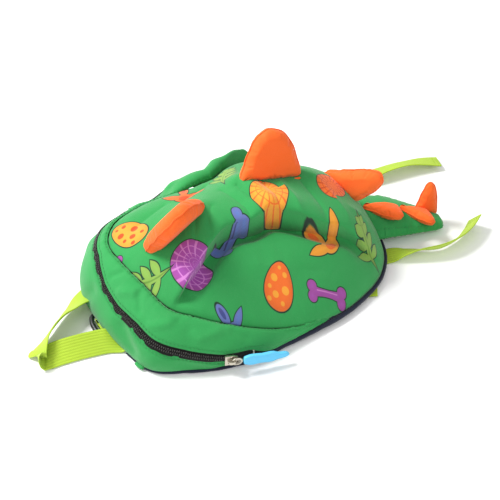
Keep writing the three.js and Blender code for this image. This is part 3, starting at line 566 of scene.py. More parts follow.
def grid_mesh(name: str, across: int, up: int, place: Place, uv: Place | None = None,
              weld: bool = False, keep: bool = False) -> Mesh:
    """A mesh from a grid whose vertices are moved to their places.

    Args:
        name: Mesh name.
        across: Cells along u.
        up: Cells along v.
        place: Gives millimetre points for arrays of u and v from 0 to 1.
        uv: Gives cloth millimetres for the UV map; u and v by default.
        weld: Joins the grid's meeting edges and poles.
        keep: Stores u and v on the vertices as the attributes "along" and "level".

    Returns:
        The mesh in the row frame.
    """
    bm = bmesh.new()
    bmesh.ops.create_grid(bm, x_segments=across, y_segments=up, size=0.5)
    u = np.array([v.co.x for v in bm.verts]) + 0.5
    w = np.array([v.co.y for v in bm.verts]) + 0.5
    points = place(u, w)
    flat = uv(u, w) if uv else np.stack([u * 60, w * 20], axis=1)
    layer = bm.loops.layers.uv.new("UVMap")
    bm.verts.index_update()
    for face in bm.faces:
        for loop in face.loops:
            spot = flat[loop.vert.index]
            loop[layer].uv = (spot[0] / UV_SPAN + 0.5, spot[1] / UV_SPAN + 0.5)
    if keep:
        along, level = bm.verts.layers.float.new("along"), bm.verts.layers.float.new("level")
        for vert, a, b in zip(bm.verts, u, w):
            vert[along], vert[level] = a, b
    for vert, point in zip(bm.verts, points):
        vert.co = to_row(point)
    if weld:
        bmesh.ops.remove_doubles(bm, verts=bm.verts, dist=2e-6)
        bmesh.ops.dissolve_degenerate(bm, dist=1e-7, edges=bm.edges)
    return to_mesh(bm, name)


def solidify(piece: Piece, thick: float) -> None:
    """Gives a sheet its wall thickness in millimetres, inwards."""
    wall = piece.modifiers.new("Wall", "SOLIDIFY")
    wall.thickness = thick * MM
    wall.offset = -1.0


def tube_mesh(name: str, path: Points, radius: float | Array, around: int = 10,
              flat: float = 1.0, normal: Points | None = None, closed: bool = False) -> Mesh:
    """A roll of cloth or cord along a path, with closed ends.

    Args:
        name: Mesh name.
        path: Millimetre points of the path.
        radius: Radius in millimetres, one value or one per point.
        around: Cells round the section.
        flat: Share of the radius across the normal.
        normal: Direction of the section's short side at each point.
        closed: True if the path meets itself.

    Returns:
        The tube's mesh.
    """
    count = len(path)
    ahead = np.roll(path, -1, 0) - np.roll(path, 1, 0)
    if not closed:
        ahead[0], ahead[-1] = path[1] - path[0], path[-1] - path[-2]
    ahead = unit(ahead)
    up = np.tile([0.0, 0.0, 1.0], (count, 1)) if normal is None else normal
    side = unit(np.cross(ahead, up))
    up = np.cross(side, ahead)
    size = np.broadcast_to(np.asarray(radius, float), (count,)).copy()
    if not closed:
        size[0] = size[-1] = 0.02

    def place(u: Array, v: Array) -> Points:
        """Tube surface at a share of the path and of a turn."""
        index = np.minimum(np.rint(u * (count if closed else count - 1)).astype(int), count) % count
        turn = 2 * math.pi * v
        r = size[index]
        return (path[index] + side[index] * (r * np.cos(turn))[:, None]
                + up[index] * (r * flat * np.sin(turn))[:, None])

    def uv(u: Array, v: Array) -> Points:
        """Cloth millimetres along and round the tube."""
        length = np.linalg.norm(np.diff(path, axis=0), axis=1).sum()
        return np.stack([(u - 0.5) * length, v * 2 * math.pi * float(size.max())], axis=1)

    return outward(grid_mesh(name, count if closed else count - 1, around, place, uv, weld=True))


def dressed_copy(node: str, name: str, body: str = BAG, bevel: float = 0.0, rounds: int = 0) -> Piece:
    """A merged copy of a CAD node with softened edges, which replaces it.

    Args:
        node: CAD node.
        name: Name of the new piece.
        body: CAD body that it moves with.
        bevel: Width in millimetres of the bevel on its sharp edges.
        rounds: Subdivision levels.

    Returns:
        The new piece.
    """
    bm = bmesh.new()
    bm.from_mesh(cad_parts[node].data)
    bmesh.ops.remove_doubles(bm, verts=bm.verts, dist=1e-6)
    bmesh.ops.dissolve_limit(bm, angle_limit=math.radians(1.5), verts=bm.verts, edges=bm.edges)
    if bevel:
        sharp = [e for e in bm.edges if e.is_manifold and e.calc_face_angle(0) > math.radians(35)]
        bmesh.ops.bevel(bm, geom=sharp, offset=bevel * MM, offset_type="OFFSET", segments=3,
                        profile=0.5, affect="EDGES", material=-1, clamp_overlap=True)
        bmesh.ops.triangulate(bm, faces=[f for f in bm.faces if len(f.verts) > 4])
    piece = new_piece(name, to_mesh(bm, name), body)
    if rounds:
        soft = piece.modifiers.new("Rounds", "SUBSURF")
        soft.levels = soft.render_levels = rounds
    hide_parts(node)
    return piece


def path_run(path: Points) -> Array:
    """Distance of each point of a path from its start."""
    return np.concatenate([[0], np.cumsum(np.linalg.norm(np.diff(path, axis=0), axis=1))])


def along_path(rows: Points, run: Array, at: Array) -> Points:
    """Values of a path's rows at some distances along it."""
    return np.stack([np.interp(at, run, rows[:, k]) for k in range(3)], 1)


def beads(name: str, spots: Points, turns: Array, size: Sequence[float], batch: int = 90) -> Mesh:
    """Many small ellipsoids as one mesh.

    Args:
        name: Mesh name.
        spots: Their middles in millimetres.
        turns: Matrix of each one's axes, as columns.
        size: Their half sizes in millimetres.
        batch: How many are gathered at a time, which is quicker.

    Returns:
        The mesh, with its faces outwards.
    """
    whole = bmesh.new()
    scale = Matrix.Diagonal([v * MM for v in size])
    for first in range(0, len(spots), batch):
        part = bmesh.new()
        for p, axes in zip(spots[first:first + batch], turns[first:]):
            turn = Matrix([[*map(float, row)] for row in axes])
            place = Matrix.Translation(to_row(p)) @ (turn @ scale).to_4x4()
            bmesh.ops.create_icosphere(part, subdivisions=1, radius=1.0, matrix=place)
        mesh = to_mesh(part, name)
        whole.from_mesh(mesh)
        bpy.data.meshes.remove(mesh)
    bmesh.ops.recalc_face_normals(whole, faces=whole.faces)
    return to_mesh(whole, name)


@dataclass
class Sewing:
    """Rows of thread stitches."""

    pitch: float = 3.4
    stitch: float = 2.3
    thread: float = 0.34

    def row(self, name: str, path: Points, normal: Points) -> Mesh:
        """One row of stitches along a path.

        Args:
            name: Mesh name.
            path: Millimetre points, close together.
            normal: Outward direction at each point.

        Returns:
            A mesh of small threads, half sunk in the cloth.
        """
        run = path_run(path)
        centres = np.arange(self.pitch / 2, run[-1] - self.pitch / 2, self.pitch)
        spots = along_path(path, run, centres)
        ahead = unit(along_path(path, run, centres + 1) - spots)
        out = unit(along_path(normal, run, centres))
        side = unit(np.cross(out, ahead))
        turns = np.stack([ahead, side, np.cross(ahead, side)], axis=2)
        size = (self.stitch / 2, self.thread, self.thread * 0.8)
        return beads(name, spots + out * self.thread * 0.35, turns, size)


# Shader node groups and finishes.


class Ink(Enum):
    """Colours of the print, linear."""

    ORANGE = (0.86, 0.16, 0.022, 1)
    RUST = (0.60, 0.075, 0.012, 1)
    YELLOW = (0.88, 0.36, 0.035, 1)
    PURPLE = (0.36, 0.075, 0.38, 1)
    LILAC = (0.62, 0.22, 0.60, 1)
    LEAF = (0.24, 0.50, 0.085, 1)
    MOSS = (0.13, 0.33, 0.05, 1)
    SKY = (0.115, 0.20, 0.53, 1)
    NIGHT = (0.045, 0.075, 0.26, 1)


@dataclass
class NodeDesk:
    """Short ways to add and join shader nodes in one tree."""

    tree: Tree

    def put(self, kind: str, **sockets: object) -> Node:
        """Adds a node and sets or links its inputs by name.

        Args:
            kind: Node type name.
            sockets: Input name, with underscores for spaces, to a value or an output socket.

        Returns:
            The node.
        """
        return self.into(self.tree.nodes.new(kind), **sockets)

    def into(self, node: Node, **sockets: object) -> Node:
        """Sets or links a node's inputs by name, as put does.

        Args:
            node: The node.
            sockets: Input name, with underscores for spaces, to a value or an output socket.

        Returns:
            The same node.
        """
        for key, value in sockets.items():
            self.feed(node.inputs[key.replace("_", " ")], value)
        return node

    def feed(self, socket: Socket, value: object) -> None:
        """Sets an input, or links it if the value is an output socket."""
        if isinstance(value, Socket):
            self.tree.links.new(value, socket)
        else:
            socket.default_value = value

    def math(self, how: str, a: object, b: object = 0.0) -> Socket:
        """One Math node's output."""
        node = self.tree.nodes.new("ShaderNodeMath")
        node.operation = how
        for socket, value in zip(node.inputs, (a, b)):
            self.feed(socket, value)
        return node.outputs[0]

    def mul(self, a: object, b: object) -> Socket:
        """Product of two values."""
        return self.math("MULTIPLY", a, b)

    def sub(self, a: object, b: object) -> Socket:
        """Difference of two values."""
        return self.math("SUBTRACT", a, b)

    def add(self, a: object, b: object) -> Socket:
        """Sum of two values."""
        return self.math("ADD", a, b)

    def abs(self, a: object) -> Socket:
        """Size of a value without its sign."""
        return self.math("ABSOLUTE", a)

    def ramp(self, value: object, low: float, high: float, to: tuple[float, float] = (0.0, 1.0)) -> Socket:
        """Smooth change of a value between two limits."""
        node = self.tree.nodes.new("ShaderNodeMapRange")
        node.interpolation_type = "SMOOTHSTEP"
        for key, given in (("Value", value), ("From Min", low), ("From Max", high), ("To Min", to[0]),
                           ("To Max", to[1])):
            self.feed(node.inputs[key], given)
        return node.outputs["Result"]

    def blend(self, share: object, a: object, b: object) -> Socket:
        """Colour mix from a to b."""
        node = self.tree.nodes.new("ShaderNodeMix")
        node.data_type = "RGBA"
        self.feed(node.inputs[0], share)
        self.feed(node.inputs[6], a)
        self.feed(node.inputs[7], b)
        return node.outputs[2]

    def axes(self, vector: Socket) -> tuple[Socket, Socket]:
        """The x and y of a vector."""
        node = self.put("ShaderNodeSeparateXYZ", Vector=vector)
        return node.outputs[0], node.outputs[1]


def start_group(name: str, inputs: Sequence[tuple[str, str, object]], outputs: Sequence[tuple[str, str]]
                ) -> tuple[Tree, NodeDesk, Node, Node]:
    """An empty shader node group with named sockets.

    Args:
        name: Group name.
        inputs: Name, socket type and default of each input.
        outputs: Name and socket type of each output.

    Returns:
        The group, a desk for it, and its input and output nodes.
    """
    group = bpy.data.node_groups.new(name, "ShaderNodeTree")
    for label, kind, default in inputs:
        socket = group.interface.new_socket(label, in_out="INPUT", socket_type=kind)
        if default is not None:
            socket.default_value = default
    for label, kind in outputs:
        group.interface.new_socket(label, in_out="OUTPUT", socket_type=kind)
    desk = NodeDesk(group)
    return group, desk, group.nodes.new("NodeGroupInput"), group.nodes.new("NodeGroupOutput")


FLOAT, COLOUR, VECTOR = "NodeSocketFloat", "NodeSocketColor", "NodeSocketVector"


def weave_group() -> Tree:
    """Plain weave: warp and weft threads that pass over and under each other; its Shade output sets the painted
    shade in the hollows between the threads.
    """
    group, desk, given, out = start_group(
        "Plain weave", (("Vector", VECTOR, None), ("Threads", FLOAT, 900.0)), (
            ("Height", FLOAT), ("Shade", FLOAT)))
    x, y = desk.axes(given.outputs["Vector"])
    fx = desk.mul(x, given.outputs["Threads"])
    fy = desk.mul(y, given.outputs["Threads"])
    warp = desk.math("SINE", desk.mul(fx, math.pi))
    weft = desk.math("SINE", desk.mul(fy, math.pi))
    over = desk.mul(warp, weft)
    ribs = desk.mul(desk.abs(warp), desk.abs(weft))
    height = desk.add(desk.mul(over, 0.35), desk.mul(ribs, 0.65))
    desk.feed(out.inputs["Height"], height)
    desk.feed(out.inputs["Shade"], desk.ramp(height, -0.3, 0.9))
    return group


def mottle_group() -> Tree:
    """Uneven dye, soft creasing and a little lint over a cloth."""
    group, desk, given, out = start_group(
        "Cloth mottle", (("Vector", VECTOR, None), ("Cloth", COLOUR, None), ("Amount", FLOAT, 0.12),
                         ("Lint", FLOAT, 0.15)),
        (("Color", COLOUR), ("Height", FLOAT), ("Rough", FLOAT)))
    broad = desk.put("ShaderNodeTexNoise", Vector=given.outputs["Vector"], Scale=14.0, Detail=5.0,
                     Roughness=0.6)
    creased = desk.put("ShaderNodeTexNoise", Vector=given.outputs["Vector"], Scale=46.0, Detail=4.0,
                       Roughness=0.55, Distortion=0.9)
    fluff = desk.put("ShaderNodeTexNoise", Vector=given.outputs["Vector"], Scale=1500.0, Detail=2.0)
    tone = desk.ramp(broad.outputs[0], 0.3, 0.72)
    dark = desk.blend(desk.mul(tone, given.outputs["Amount"]), given.outputs["Cloth"], (0, 0, 0, 1))
    specks = desk.mul(desk.ramp(fluff.outputs[0], 0.62, 0.78), given.outputs["Lint"])
    desk.feed(out.inputs["Color"], desk.blend(specks, dark, (0.8, 0.85, 0.8, 1)))
    desk.feed(out.inputs["Height"],
              desk.add(desk.mul(creased.outputs[0], 0.6), desk.mul(broad.outputs[0], 0.6)))
    desk.feed(out.inputs["Rough"], desk.ramp(creased.outputs[0], 0.2, 0.8, (0.72, 0.92)))
    return group


def wear_group() -> Tree:
    """Fine scratches and scuffed edges on hard pieces."""
    group, desk, given, out = start_group(
        "Hard wear", (("Vector", VECTOR, None), ("Base", COLOUR, None), ("Worn", COLOUR, None),
                      ("Amount", FLOAT, 0.5)),
        (("Color", COLOUR), ("Rough", FLOAT), ("Height", FLOAT)))
    edge = desk.ramp(desk.put("ShaderNodeNewGeometry").outputs["Pointiness"], 0.52, 0.60)
    grain = desk.put("ShaderNodeTexNoise", Vector=given.outputs["Vector"], Scale=420.0, Detail=6.0)
    mask = desk.mul(desk.mul(edge, desk.ramp(grain.outputs[0], 0.35, 0.7)), given.outputs["Amount"])
    desk.feed(out.inputs["Color"], desk.blend(mask, given.outputs["Base"], given.outputs["Worn"]))
    desk.feed(out.inputs["Rough"], desk.ramp(grain.outputs[0], 0.3, 0.8, (0.22, 0.42)))
    desk.feed(out.inputs["Height"], grain.outputs[0])
    return group


def ink_group() -> Tree:
    """Lays one printed motif, with its dark outline and its detail, over a colour."""
    group, desk, given, out = start_group(
        "Print ink", (("Under", COLOUR, None), ("Shape", FLOAT, 1.0), ("Detail", FLOAT, 0.0),
                      ("Fill", COLOUR, None),
                      ("Accent", COLOUR, None), ("Outline", FLOAT, 0.75)), (("Color", COLOUR),))
    shape, line = given.outputs["Shape"], given.outputs["Outline"]
    inside = desk.ramp(shape, 0.15, -0.15)
    filled = desk.blend(desk.mul(inside, given.outputs["Detail"]), given.outputs["Fill"],
                        given.outputs["Accent"])
    toned = desk.blend(desk.ramp(shape, -4.5, -0.5, (0.0, 0.16)), filled, (0.25, 0.04, 0.02, 1))
    laid = desk.blend(inside, given.outputs["Under"], toned)
    stroke = desk.sub(desk.abs(desk.sub(shape, desk.mul(line, 0.5))), desk.mul(line, 0.5))
    desk.feed(out.inputs["Color"], desk.blend(desk.ramp(stroke, 0.2, -0.2), laid, (0.012, 0.035, 0.022, 1)))
    return group


def oval(desk: NodeDesk, x: object, y: object, cx: float, cy: float, rx: float, ry: float) -> Socket:
    """Rough distance to an upright oval, below 0 inside it."""
    px = desk.math("DIVIDE", desk.sub(x, cx), rx)
    py = desk.math("DIVIDE", desk.sub(y, cy), ry)
    span = desk.math("SQRT", desk.add(desk.mul(px, px), desk.mul(py, py)))
    return desk.mul(desk.sub(span, 1.0), min(rx, ry))


def start_motif(name: str) -> tuple[Tree, NodeDesk, Socket, Socket,
                                    Node]:
    """An empty group for one motif.

    Args:
        name: What the motif shows.

    Returns:
        The group, a desk for it, the x and y across the cloth, and its output node.
    """
    group, desk, given, out = start_group(
        f"Motif {name}", (("Vector", VECTOR, None),), (("Shape", FLOAT), ("Detail", FLOAT)))
    return group, desk, *desk.axes(given.outputs["Vector"]), out


def egg_motif() -> Tree:
    """A spotted egg about 30 mm tall."""
    group, desk, x, y, out = start_motif("egg")
    taper = desk.sub(1.0, desk.mul(y, 0.014))
    desk.feed(out.inputs["Shape"], oval(desk, desk.math("DIVIDE", x, taper), y, 0, 0, 11, 15))
    spots = oval(desk, x, y, -4.5, 4.0, 2.6, 2.3)
    for cx, cy, r in ((3.4, 8.0, 1.8), (5.2, -1.0, 2.9), (-2.0, -5.6, 2.4), (4.2, -9.4, 1.6),
                      (-7.2, -2.2, 1.5), (-1.2, 11.0, 1.3), (-6.4, -9.8, 1.7)):
        spots = desk.math("MINIMUM", spots, oval(desk, x, y, cx, cy, r, r * 0.9))
    desk.feed(out.inputs["Detail"], desk.ramp(spots, 0.15, -0.15))
    return group


def blade(desk: NodeDesk, x: object, y: object, at: float, deg: float, long: float, wide: float) -> Socket:
    """Rough distance to one pointed leaf that starts on the stem at a height and leans at an angle."""
    c, s = math.cos(math.radians(deg)), math.sin(math.radians(deg))
    py = desk.sub(y, at)
    along = desk.add(desk.mul(x, c), desk.mul(py, s))
    off = desk.sub(desk.mul(py, c), desk.mul(x, s))
    share = desk.sub(desk.mul(along, 2 / long), 1.0)
    room = desk.mul(desk.sub(1.0, desk.mul(share, share)), wide)
    return desk.sub(desk.abs(off), room)


def fern_motif() -> Tree:
    """A frond with paired pointed leaves about 38 mm tall."""
    group, desk, x, y, out = start_motif("fern")
    bent = desk.sub(x, desk.mul(desk.mul(y, y), 0.012))
    half = desk.abs(bent)
    shape = blade(desk, half, y, -18, 90, 38, 2.2)
    for at, deg, long in ((-10, 32, 14), (-3, 38, 13), (4, 46, 11), (10, 56, 8)):
        shape = desk.math("MINIMUM", shape, blade(desk, half, y, at, deg, long, 2.6))
    desk.feed(out.inputs["Shape"], shape)
    desk.feed(out.inputs["Detail"], desk.ramp(half, 0.75, 0.35))
    return group


def print_motif() -> Tree:
    """A three toed footprint about 30 mm tall."""
    group, desk, x, y, out = start_motif("footprint")
    half = desk.abs(x)
    pad = oval(desk, x, y, 0, -8, 7.5, 6.0)
    shape = desk.math("MINIMUM", pad, oval(desk, x, y, 0, 6, 3.6, 9))
    shape = desk.math("MINIMUM", shape, blade(desk, half, y, -10, 34, 20, 3.4))
    desk.feed(out.inputs["Shape"], shape)
    toes = desk.math("MINIMUM", oval(desk, x, y, 0, -8.5, 4.4, 3.4), oval(desk, x, y, 0, 7, 1.6, 5.0))
    desk.feed(out.inputs["Detail"], desk.ramp(toes, 0.15, -0.15))
    return group


def shell_motif() -> Tree:
    """A ribbed spiral shell about 32 mm across."""
    group, desk, x, y, out = start_motif("shell")
    r = desk.math("SQRT", desk.add(desk.mul(x, x), desk.mul(y, y)))
    turn = desk.add(desk.math("DIVIDE", desk.math("ARCTAN2", y, x), 2 * math.pi), 0.5)
    edge = desk.add(desk.mul(turn, 6.0), 11.5)
    desk.feed(out.inputs["Shape"], desk.sub(r, edge))
    coil = desk.sub(desk.mul(desk.math("LOGARITHM", desk.math("MAXIMUM", r, 0.4), math.e), 1.75), turn)
    line = desk.abs(desk.sub(desk.math("FRACT", coil), 0.5))
    ribs = desk.abs(desk.math("SINE", desk.add(desk.mul(turn, 15 * math.pi), desk.mul(r, 0.12))))
    bands = desk.mul(desk.ramp(ribs, 0.42, 0.28), desk.ramp(r, 3.0, 6.0))
    desk.feed(out.inputs["Detail"], desk.math("MAXIMUM", desk.ramp(line, 0.07, 0.03), bands))
    return group


def bone_motif() -> Tree:
    """A knobbed bone about 34 mm long."""
    group, desk, x, y, out = start_motif("bone")
    ax, ay = desk.abs(x), desk.abs(y)
    shaft = desk.math("MAXIMUM", desk.sub(ax, 13.0),
                      desk.sub(ay, desk.add(desk.mul(desk.mul(x, x), 0.008), 2.4)))
    desk.feed(out.inputs["Shape"], desk.math("MINIMUM", shaft, oval(desk, ax, ay, 13.5, 3.4, 4.2, 4.0)))
    desk.feed(out.inputs["Detail"],
              desk.ramp(desk.math("MAXIMUM", desk.sub(ax, 9.0), desk.abs(desk.sub(y, 1.1))), 0.5, 0.3))
    return group


GROUPS: dict[str, Tree] = {}


def group_named(maker: Callable[[], Tree]) -> Tree:
    """The node group that a maker builds, built once."""
    if maker.__name__ not in GROUPS:
        GROUPS[maker.__name__] = maker()
    return GROUPS[maker.__name__]


@dataclass(frozen=True)
class Finish:
    """A material: what every finish has."""

    name: str
    colour: tuple[float, float, float, float]

    def start(self) -> tuple[bpy.types.Material, NodeDesk, Node]:
        """A new material, a desk for its nodes, and its Principled shader."""
        material = bpy.data.materials.new(self.name)
        material.use_nodes = True
        material.diffuse_color = self.colour
        desk = NodeDesk(material.node_tree)
        return material, desk, material.node_tree.nodes["Principled BSDF"]

    def use(self, desk: NodeDesk, maker: Callable[[], Tree], **sockets: object) -> Node:
        """Places a node group in the material with its own values."""
        node = desk.tree.nodes.new("ShaderNodeGroup")
        node.node_tree = group_named(maker)
        return desk.into(node, **sockets)

    def bump(self, desk: NodeDesk, shader: Node, layers: Sequence[tuple[object, float, float]]) -> None:
        """Chains bump layers into the shader.

        Args:
            desk: The material's desk.
            shader: Its Principled shader.
            layers: Height socket, strength and depth in millimetres of each layer.
        """
        last = None
        for height, strength, depth in layers:
            node = desk.put("ShaderNodeBump", Height=height, Strength=strength, Distance=depth * MM)
            if last is not None:
                desk.feed(node.inputs["Normal"], last)
            last = node.outputs["Normal"]
        desk.feed(shader.inputs["Normal"], last)


@dataclass(frozen=True)
class ClothFinish(Finish):
    """Woven polyester."""

    threads: float = 900.0
    sheen: float = 0.22
    lint: float = 0.05
    mottle: float = 0.10

    def ground(self, desk: NodeDesk, spot: Socket) -> object:
        """The colour that the mottle is laid on."""
        return self.colour

    def material(self) -> bpy.types.Material:
        """Builds the material."""
        material, desk, shader = self.start()
        spot = desk.put("ShaderNodeTexCoord").outputs["UV"]
        place = desk.put("ShaderNodeTexCoord").outputs["Object"]
        weave = self.use(desk, weave_group, Vector=spot, Threads=self.threads)
        mottle = self.use(desk, mottle_group, Vector=place, Cloth=self.ground(desk, spot), Amount=self.mottle,
                          Lint=self.lint)
        # Painted shade: the cloth is darker in the hollows between the weave's threads.
        shade = desk.ramp(weave.outputs["Shade"], 0.0, 1.0, (0.14, 0.0))
        desk.feed(shader.inputs["Base Color"], desk.blend(shade, mottle.outputs["Color"], (0, 0, 0, 1)))
        desk.feed(shader.inputs["Roughness"], mottle.outputs["Rough"])
        desk.into(shader, Sheen_Weight=self.sheen, Sheen_Roughness=0.45, Specular_IOR_Level=0.25)
        self.bump(desk, shader, ((mottle.outputs["Height"], 0.5, 1.4), (weave.outputs["Height"], 0.45, 0.12)))
        return material


class Motif(NamedTuple):
    """One printed motif: maker, place in cloth millimetres, turn, size, and its two inks."""

    maker: Callable[[], Tree]
    x: float
    y: float
    deg: float
    size: float
    fill: Ink
    accent: Ink


MOTIFS: list[Motif] = [Motif(*row) for row in (
    (egg_motif, -96, 20, 24, 1.00, Ink.YELLOW, Ink.RUST),
    (shell_motif, -64, -44, 30, 0.95, Ink.PURPLE, Ink.LILAC),
    (fern_motif, -104, -32, 62, 1.00, Ink.LEAF, Ink.MOSS),
    (print_motif, -34, 40, -18, 0.95, Ink.ORANGE, Ink.RUST),
    (bone_motif, -20, -30, 34, 0.85, Ink.SKY, Ink.NIGHT),
    (fern_motif, 6, 40, -35, 0.90, Ink.LEAF, Ink.MOSS),
    (egg_motif, 62, 40, -20, 0.90, Ink.PURPLE, Ink.ORANGE),
    (shell_motif, 24, -12, 190, 0.90, Ink.YELLOW, Ink.ORANGE),
    (egg_motif, 4, -84, -35, 1.05, Ink.ORANGE, Ink.YELLOW),
    (print_motif, 62, -54, 48, 1.05, Ink.YELLOW, Ink.ORANGE),
    (shell_motif, 92, -12, 75, 0.80, Ink.ORANGE, Ink.RUST),
    (print_motif, -56, -92, 12, 0.85, Ink.SKY, Ink.NIGHT),
    (fern_motif, 108, -62, 20, 0.95, Ink.LEAF, Ink.MOSS),
    (bone_motif, 52, -100, -18, 0.95, Ink.PURPLE, Ink.LILAC),
    (egg_motif, 106, 34, 60, 0.80, Ink.YELLOW, Ink.RUST),
    (shell_motif, -62, 66, 0, 0.75, Ink.SKY, Ink.NIGHT),
    (bone_motif, -120, -8, 80, 0.70, Ink.PURPLE, Ink.LILAC),
    (print_motif, 128, 0, -30, 0.70, Ink.PURPLE, Ink.LILAC),
)]


@dataclass(frozen=True)
class PrintFinish(ClothFinish):
    """Green cloth with an all-over print of eggs, fronds, footprints, shells and bones."""

    motif_size: float = 1.22

    def ground(self, desk: NodeDesk, spot: Socket) -> object:
        """The cloth's colour with every motif laid on it."""
        centred = desk.put("ShaderNodeVectorMath", Vector=spot)
        centred.operation = "SUBTRACT"
        centred.inputs[1].default_value = (0.5, 0.5, 0.0)
        laid: object = self.colour
        for row in MOTIFS:
            local = desk.tree.nodes.new("ShaderNodeMapping")
            local.vector_type = "TEXTURE"
            desk.feed(local.inputs["Vector"], centred.outputs[0])
            local.inputs["Location"].default_value = (row.x / UV_SPAN, row.y / UV_SPAN, 0)
            local.inputs["Rotation"].default_value = (0, 0, math.radians(row.deg))
            local.inputs["Scale"].default_value = (row.size * self.motif_size / UV_SPAN,) * 3
            motif = self.use(desk, row.maker, Vector=local.outputs["Vector"])
            ink = self.use(desk, ink_group, Under=laid, Shape=motif.outputs["Shape"],
                           Detail=motif.outputs["Detail"],
                           Fill=row.fill.value, Accent=row.accent.value)
            laid = ink.outputs["Color"]
        return laid


@dataclass(frozen=True)
class WebbingFinish(Finish):
    """Ribbed webbing: coarse threads across its ribs, with painted shade between the threads and in the grooves
    between the ribs.
    """

    threads: float = 1.1
    rib: float = 2.45

    def material(self) -> bpy.types.Material:
        """Builds the material."""
        material, desk, shader = self.start()
        spot = desk.put("ShaderNodeTexCoord").outputs["UV"]
        place = desk.put("ShaderNodeTexCoord").outputs["Object"]
        mottle = self.use(desk, mottle_group, Vector=place, Cloth=self.colour, Amount=0.16, Lint=0.05)
        along, across = desk.axes(spot)
        slant = desk.add(desk.mul(along, UV_SPAN),
                         desk.mul(desk.math("PINGPONG", desk.mul(across, UV_SPAN), 1.2), 0.8))
        threads = desk.abs(desk.math("SINE", desk.mul(slant, math.pi / self.threads)))
        across_ribs = desk.mul(desk.sub(across, 0.5), UV_SPAN * math.pi / self.rib)
        # Painted shade: darker in the grooves between the ribs and in the gaps between the threads.
        rib_groove_shade = desk.ramp(desk.abs(desk.math("SINE", across_ribs)), 0.0, 0.45, (0.35, 0.0))
        thread_gap_shaded = desk.blend(desk.ramp(threads, 0.0, 0.7, (0.24, 0.0)), mottle.outputs["Color"],
                           (0.12, 0.20, 0.0, 1))
        desk.feed(shader.inputs["Base Color"], desk.blend(rib_groove_shade, thread_gap_shaded, (0.10, 0.19, 0.0, 1)))
        desk.feed(shader.inputs["Roughness"], desk.ramp(threads, 0.0, 1.0, (0.85, 0.6)))
        desk.into(shader, Sheen_Weight=0.15, Specular_IOR_Level=0.35)
        self.bump(desk, shader, ((mottle.outputs["Height"], 0.3, 0.5), (threads, 0.5, 0.22)))
        return material


@dataclass(frozen=True)
class MeshFinish(Finish):
    """Knitted spacer mesh with small open cells, whose holes are painted near black as shade."""

    cells: float = 430.0

    def material(self) -> bpy.types.Material:
        """Builds the material."""
        material, desk, shader = self.start()
        place = desk.put("ShaderNodeTexCoord").outputs["Object"]
        mottle = self.use(desk, mottle_group, Vector=place, Cloth=self.colour, Amount=0.2, Lint=0.10)
        net = desk.put("ShaderNodeTexVoronoi", Vector=place, Scale=self.cells, Randomness=0.35)
        hole_and_shade = desk.ramp(net.outputs["Distance"], 0.50, 0.30)
        # Painted shade: the holes are laid near black, as the shade inside the open cells.
        desk.feed(shader.inputs["Base Color"],
                  desk.blend(hole_and_shade, mottle.outputs["Color"], (0.002, 0.002, 0.004, 1)))
        desk.feed(shader.inputs["Roughness"], desk.ramp(hole_and_shade, 0.0, 1.0, (0.7, 0.95)))
        desk.into(shader, Sheen_Weight=0.3)
        self.bump(desk, shader, ((desk.ramp(hole_and_shade, 0.0, 1.0, (1.0, 0.0)), 0.9, 0.9),))
        return material


@dataclass(frozen=True)
class TapeFinish(Finish):
    """Herringbone zipper tape, with painted shade in the gaps between its threads."""

    def material(self) -> bpy.types.Material:
        """Builds the material."""
        material, desk, shader = self.start()
        along, across = desk.axes(desk.put("ShaderNodeTexCoord").outputs["UV"])
        place = desk.put("ShaderNodeTexCoord").outputs["Object"]
        chevron = desk.add(desk.mul(along, UV_SPAN), desk.math("PINGPONG", desk.mul(across, UV_SPAN), 1.0))
        threads = desk.abs(desk.math("SINE", desk.mul(chevron, math.pi / 0.7)))
        mottle = self.use(desk, mottle_group, Vector=place, Cloth=self.colour, Amount=0.3, Lint=0.02)
        # Painted shade: the colour darkens towards black in the gaps between the threads.
        desk.feed(shader.inputs["Base Color"],
                  desk.blend(desk.ramp(threads, 0.0, 0.8, (0.5, 0.0)), mottle.outputs["Color"], (0, 0, 0, 1)))
        desk.feed(shader.inputs["Roughness"], desk.ramp(threads, 0.0, 1.0, (0.9, 0.7)))
        desk.into(shader, Sheen_Weight=0.04, Specular_IOR_Level=0.25)
        self.bump(desk, shader, ((threads, 0.5, 0.2),))
        return material


@dataclass(frozen=True)
class HardFinish(Finish):
    """Moulded plastic, plated metal or soft rubber."""

    worn: tuple[float, float, float, float] = (0.1, 0.1, 0.1, 1)
    metal: float = 0.0
    wear: float = 0.4
    coat: float = 0.0
    soft: float = 0.0
    relief: float = 0.05

    def material(self) -> bpy.types.Material:
        """Builds the material."""
        material, desk, shader = self.start()
        place = desk.put("ShaderNodeTexCoord").outputs["Object"]
        wear = self.use(desk, wear_group, Vector=place, Base=self.colour, Worn=self.worn, Amount=self.wear)
        desk.feed(shader.inputs["Base Color"], wear.outputs["Color"])
        desk.feed(shader.inputs["Roughness"], desk.add(wear.outputs["Rough"], self.soft))
        desk.into(shader, Metallic=self.metal, Coat_Weight=self.coat)
        self.bump(desk, shader, ((wear.outputs["Height"], 0.25, self.relief),))
        return material


@dataclass(frozen=True)
class ThreadFinish(Finish):
    """Twisted sewing thread."""

    def material(self) -> bpy.types.Material:
        """Builds the material."""
        material, desk, shader = self.start()
        place = desk.put("ShaderNodeTexCoord").outputs["Object"]
        twist = desk.put("ShaderNodeTexWave", Vector=place, Scale=900.0, Distortion=2.0)
        tint = desk.blend(desk.ramp(twist.outputs["Fac"], 0.2, 0.8, (0.0, 0.25)), self.colour, (0, 0, 0, 1))
        desk.feed(shader.inputs["Base Color"], tint)
        desk.feed(shader.inputs["Roughness"], desk.ramp(twist.outputs["Fac"], 0.0, 1.0, (0.5, 0.8)))
        self.bump(desk, shader, ((twist.outputs["Fac"], 0.4, 0.05),))
        return material


GREEN = (0.030, 0.330, 0.080, 1)
ORANGE = (1.0, 0.150, 0.020, 1)


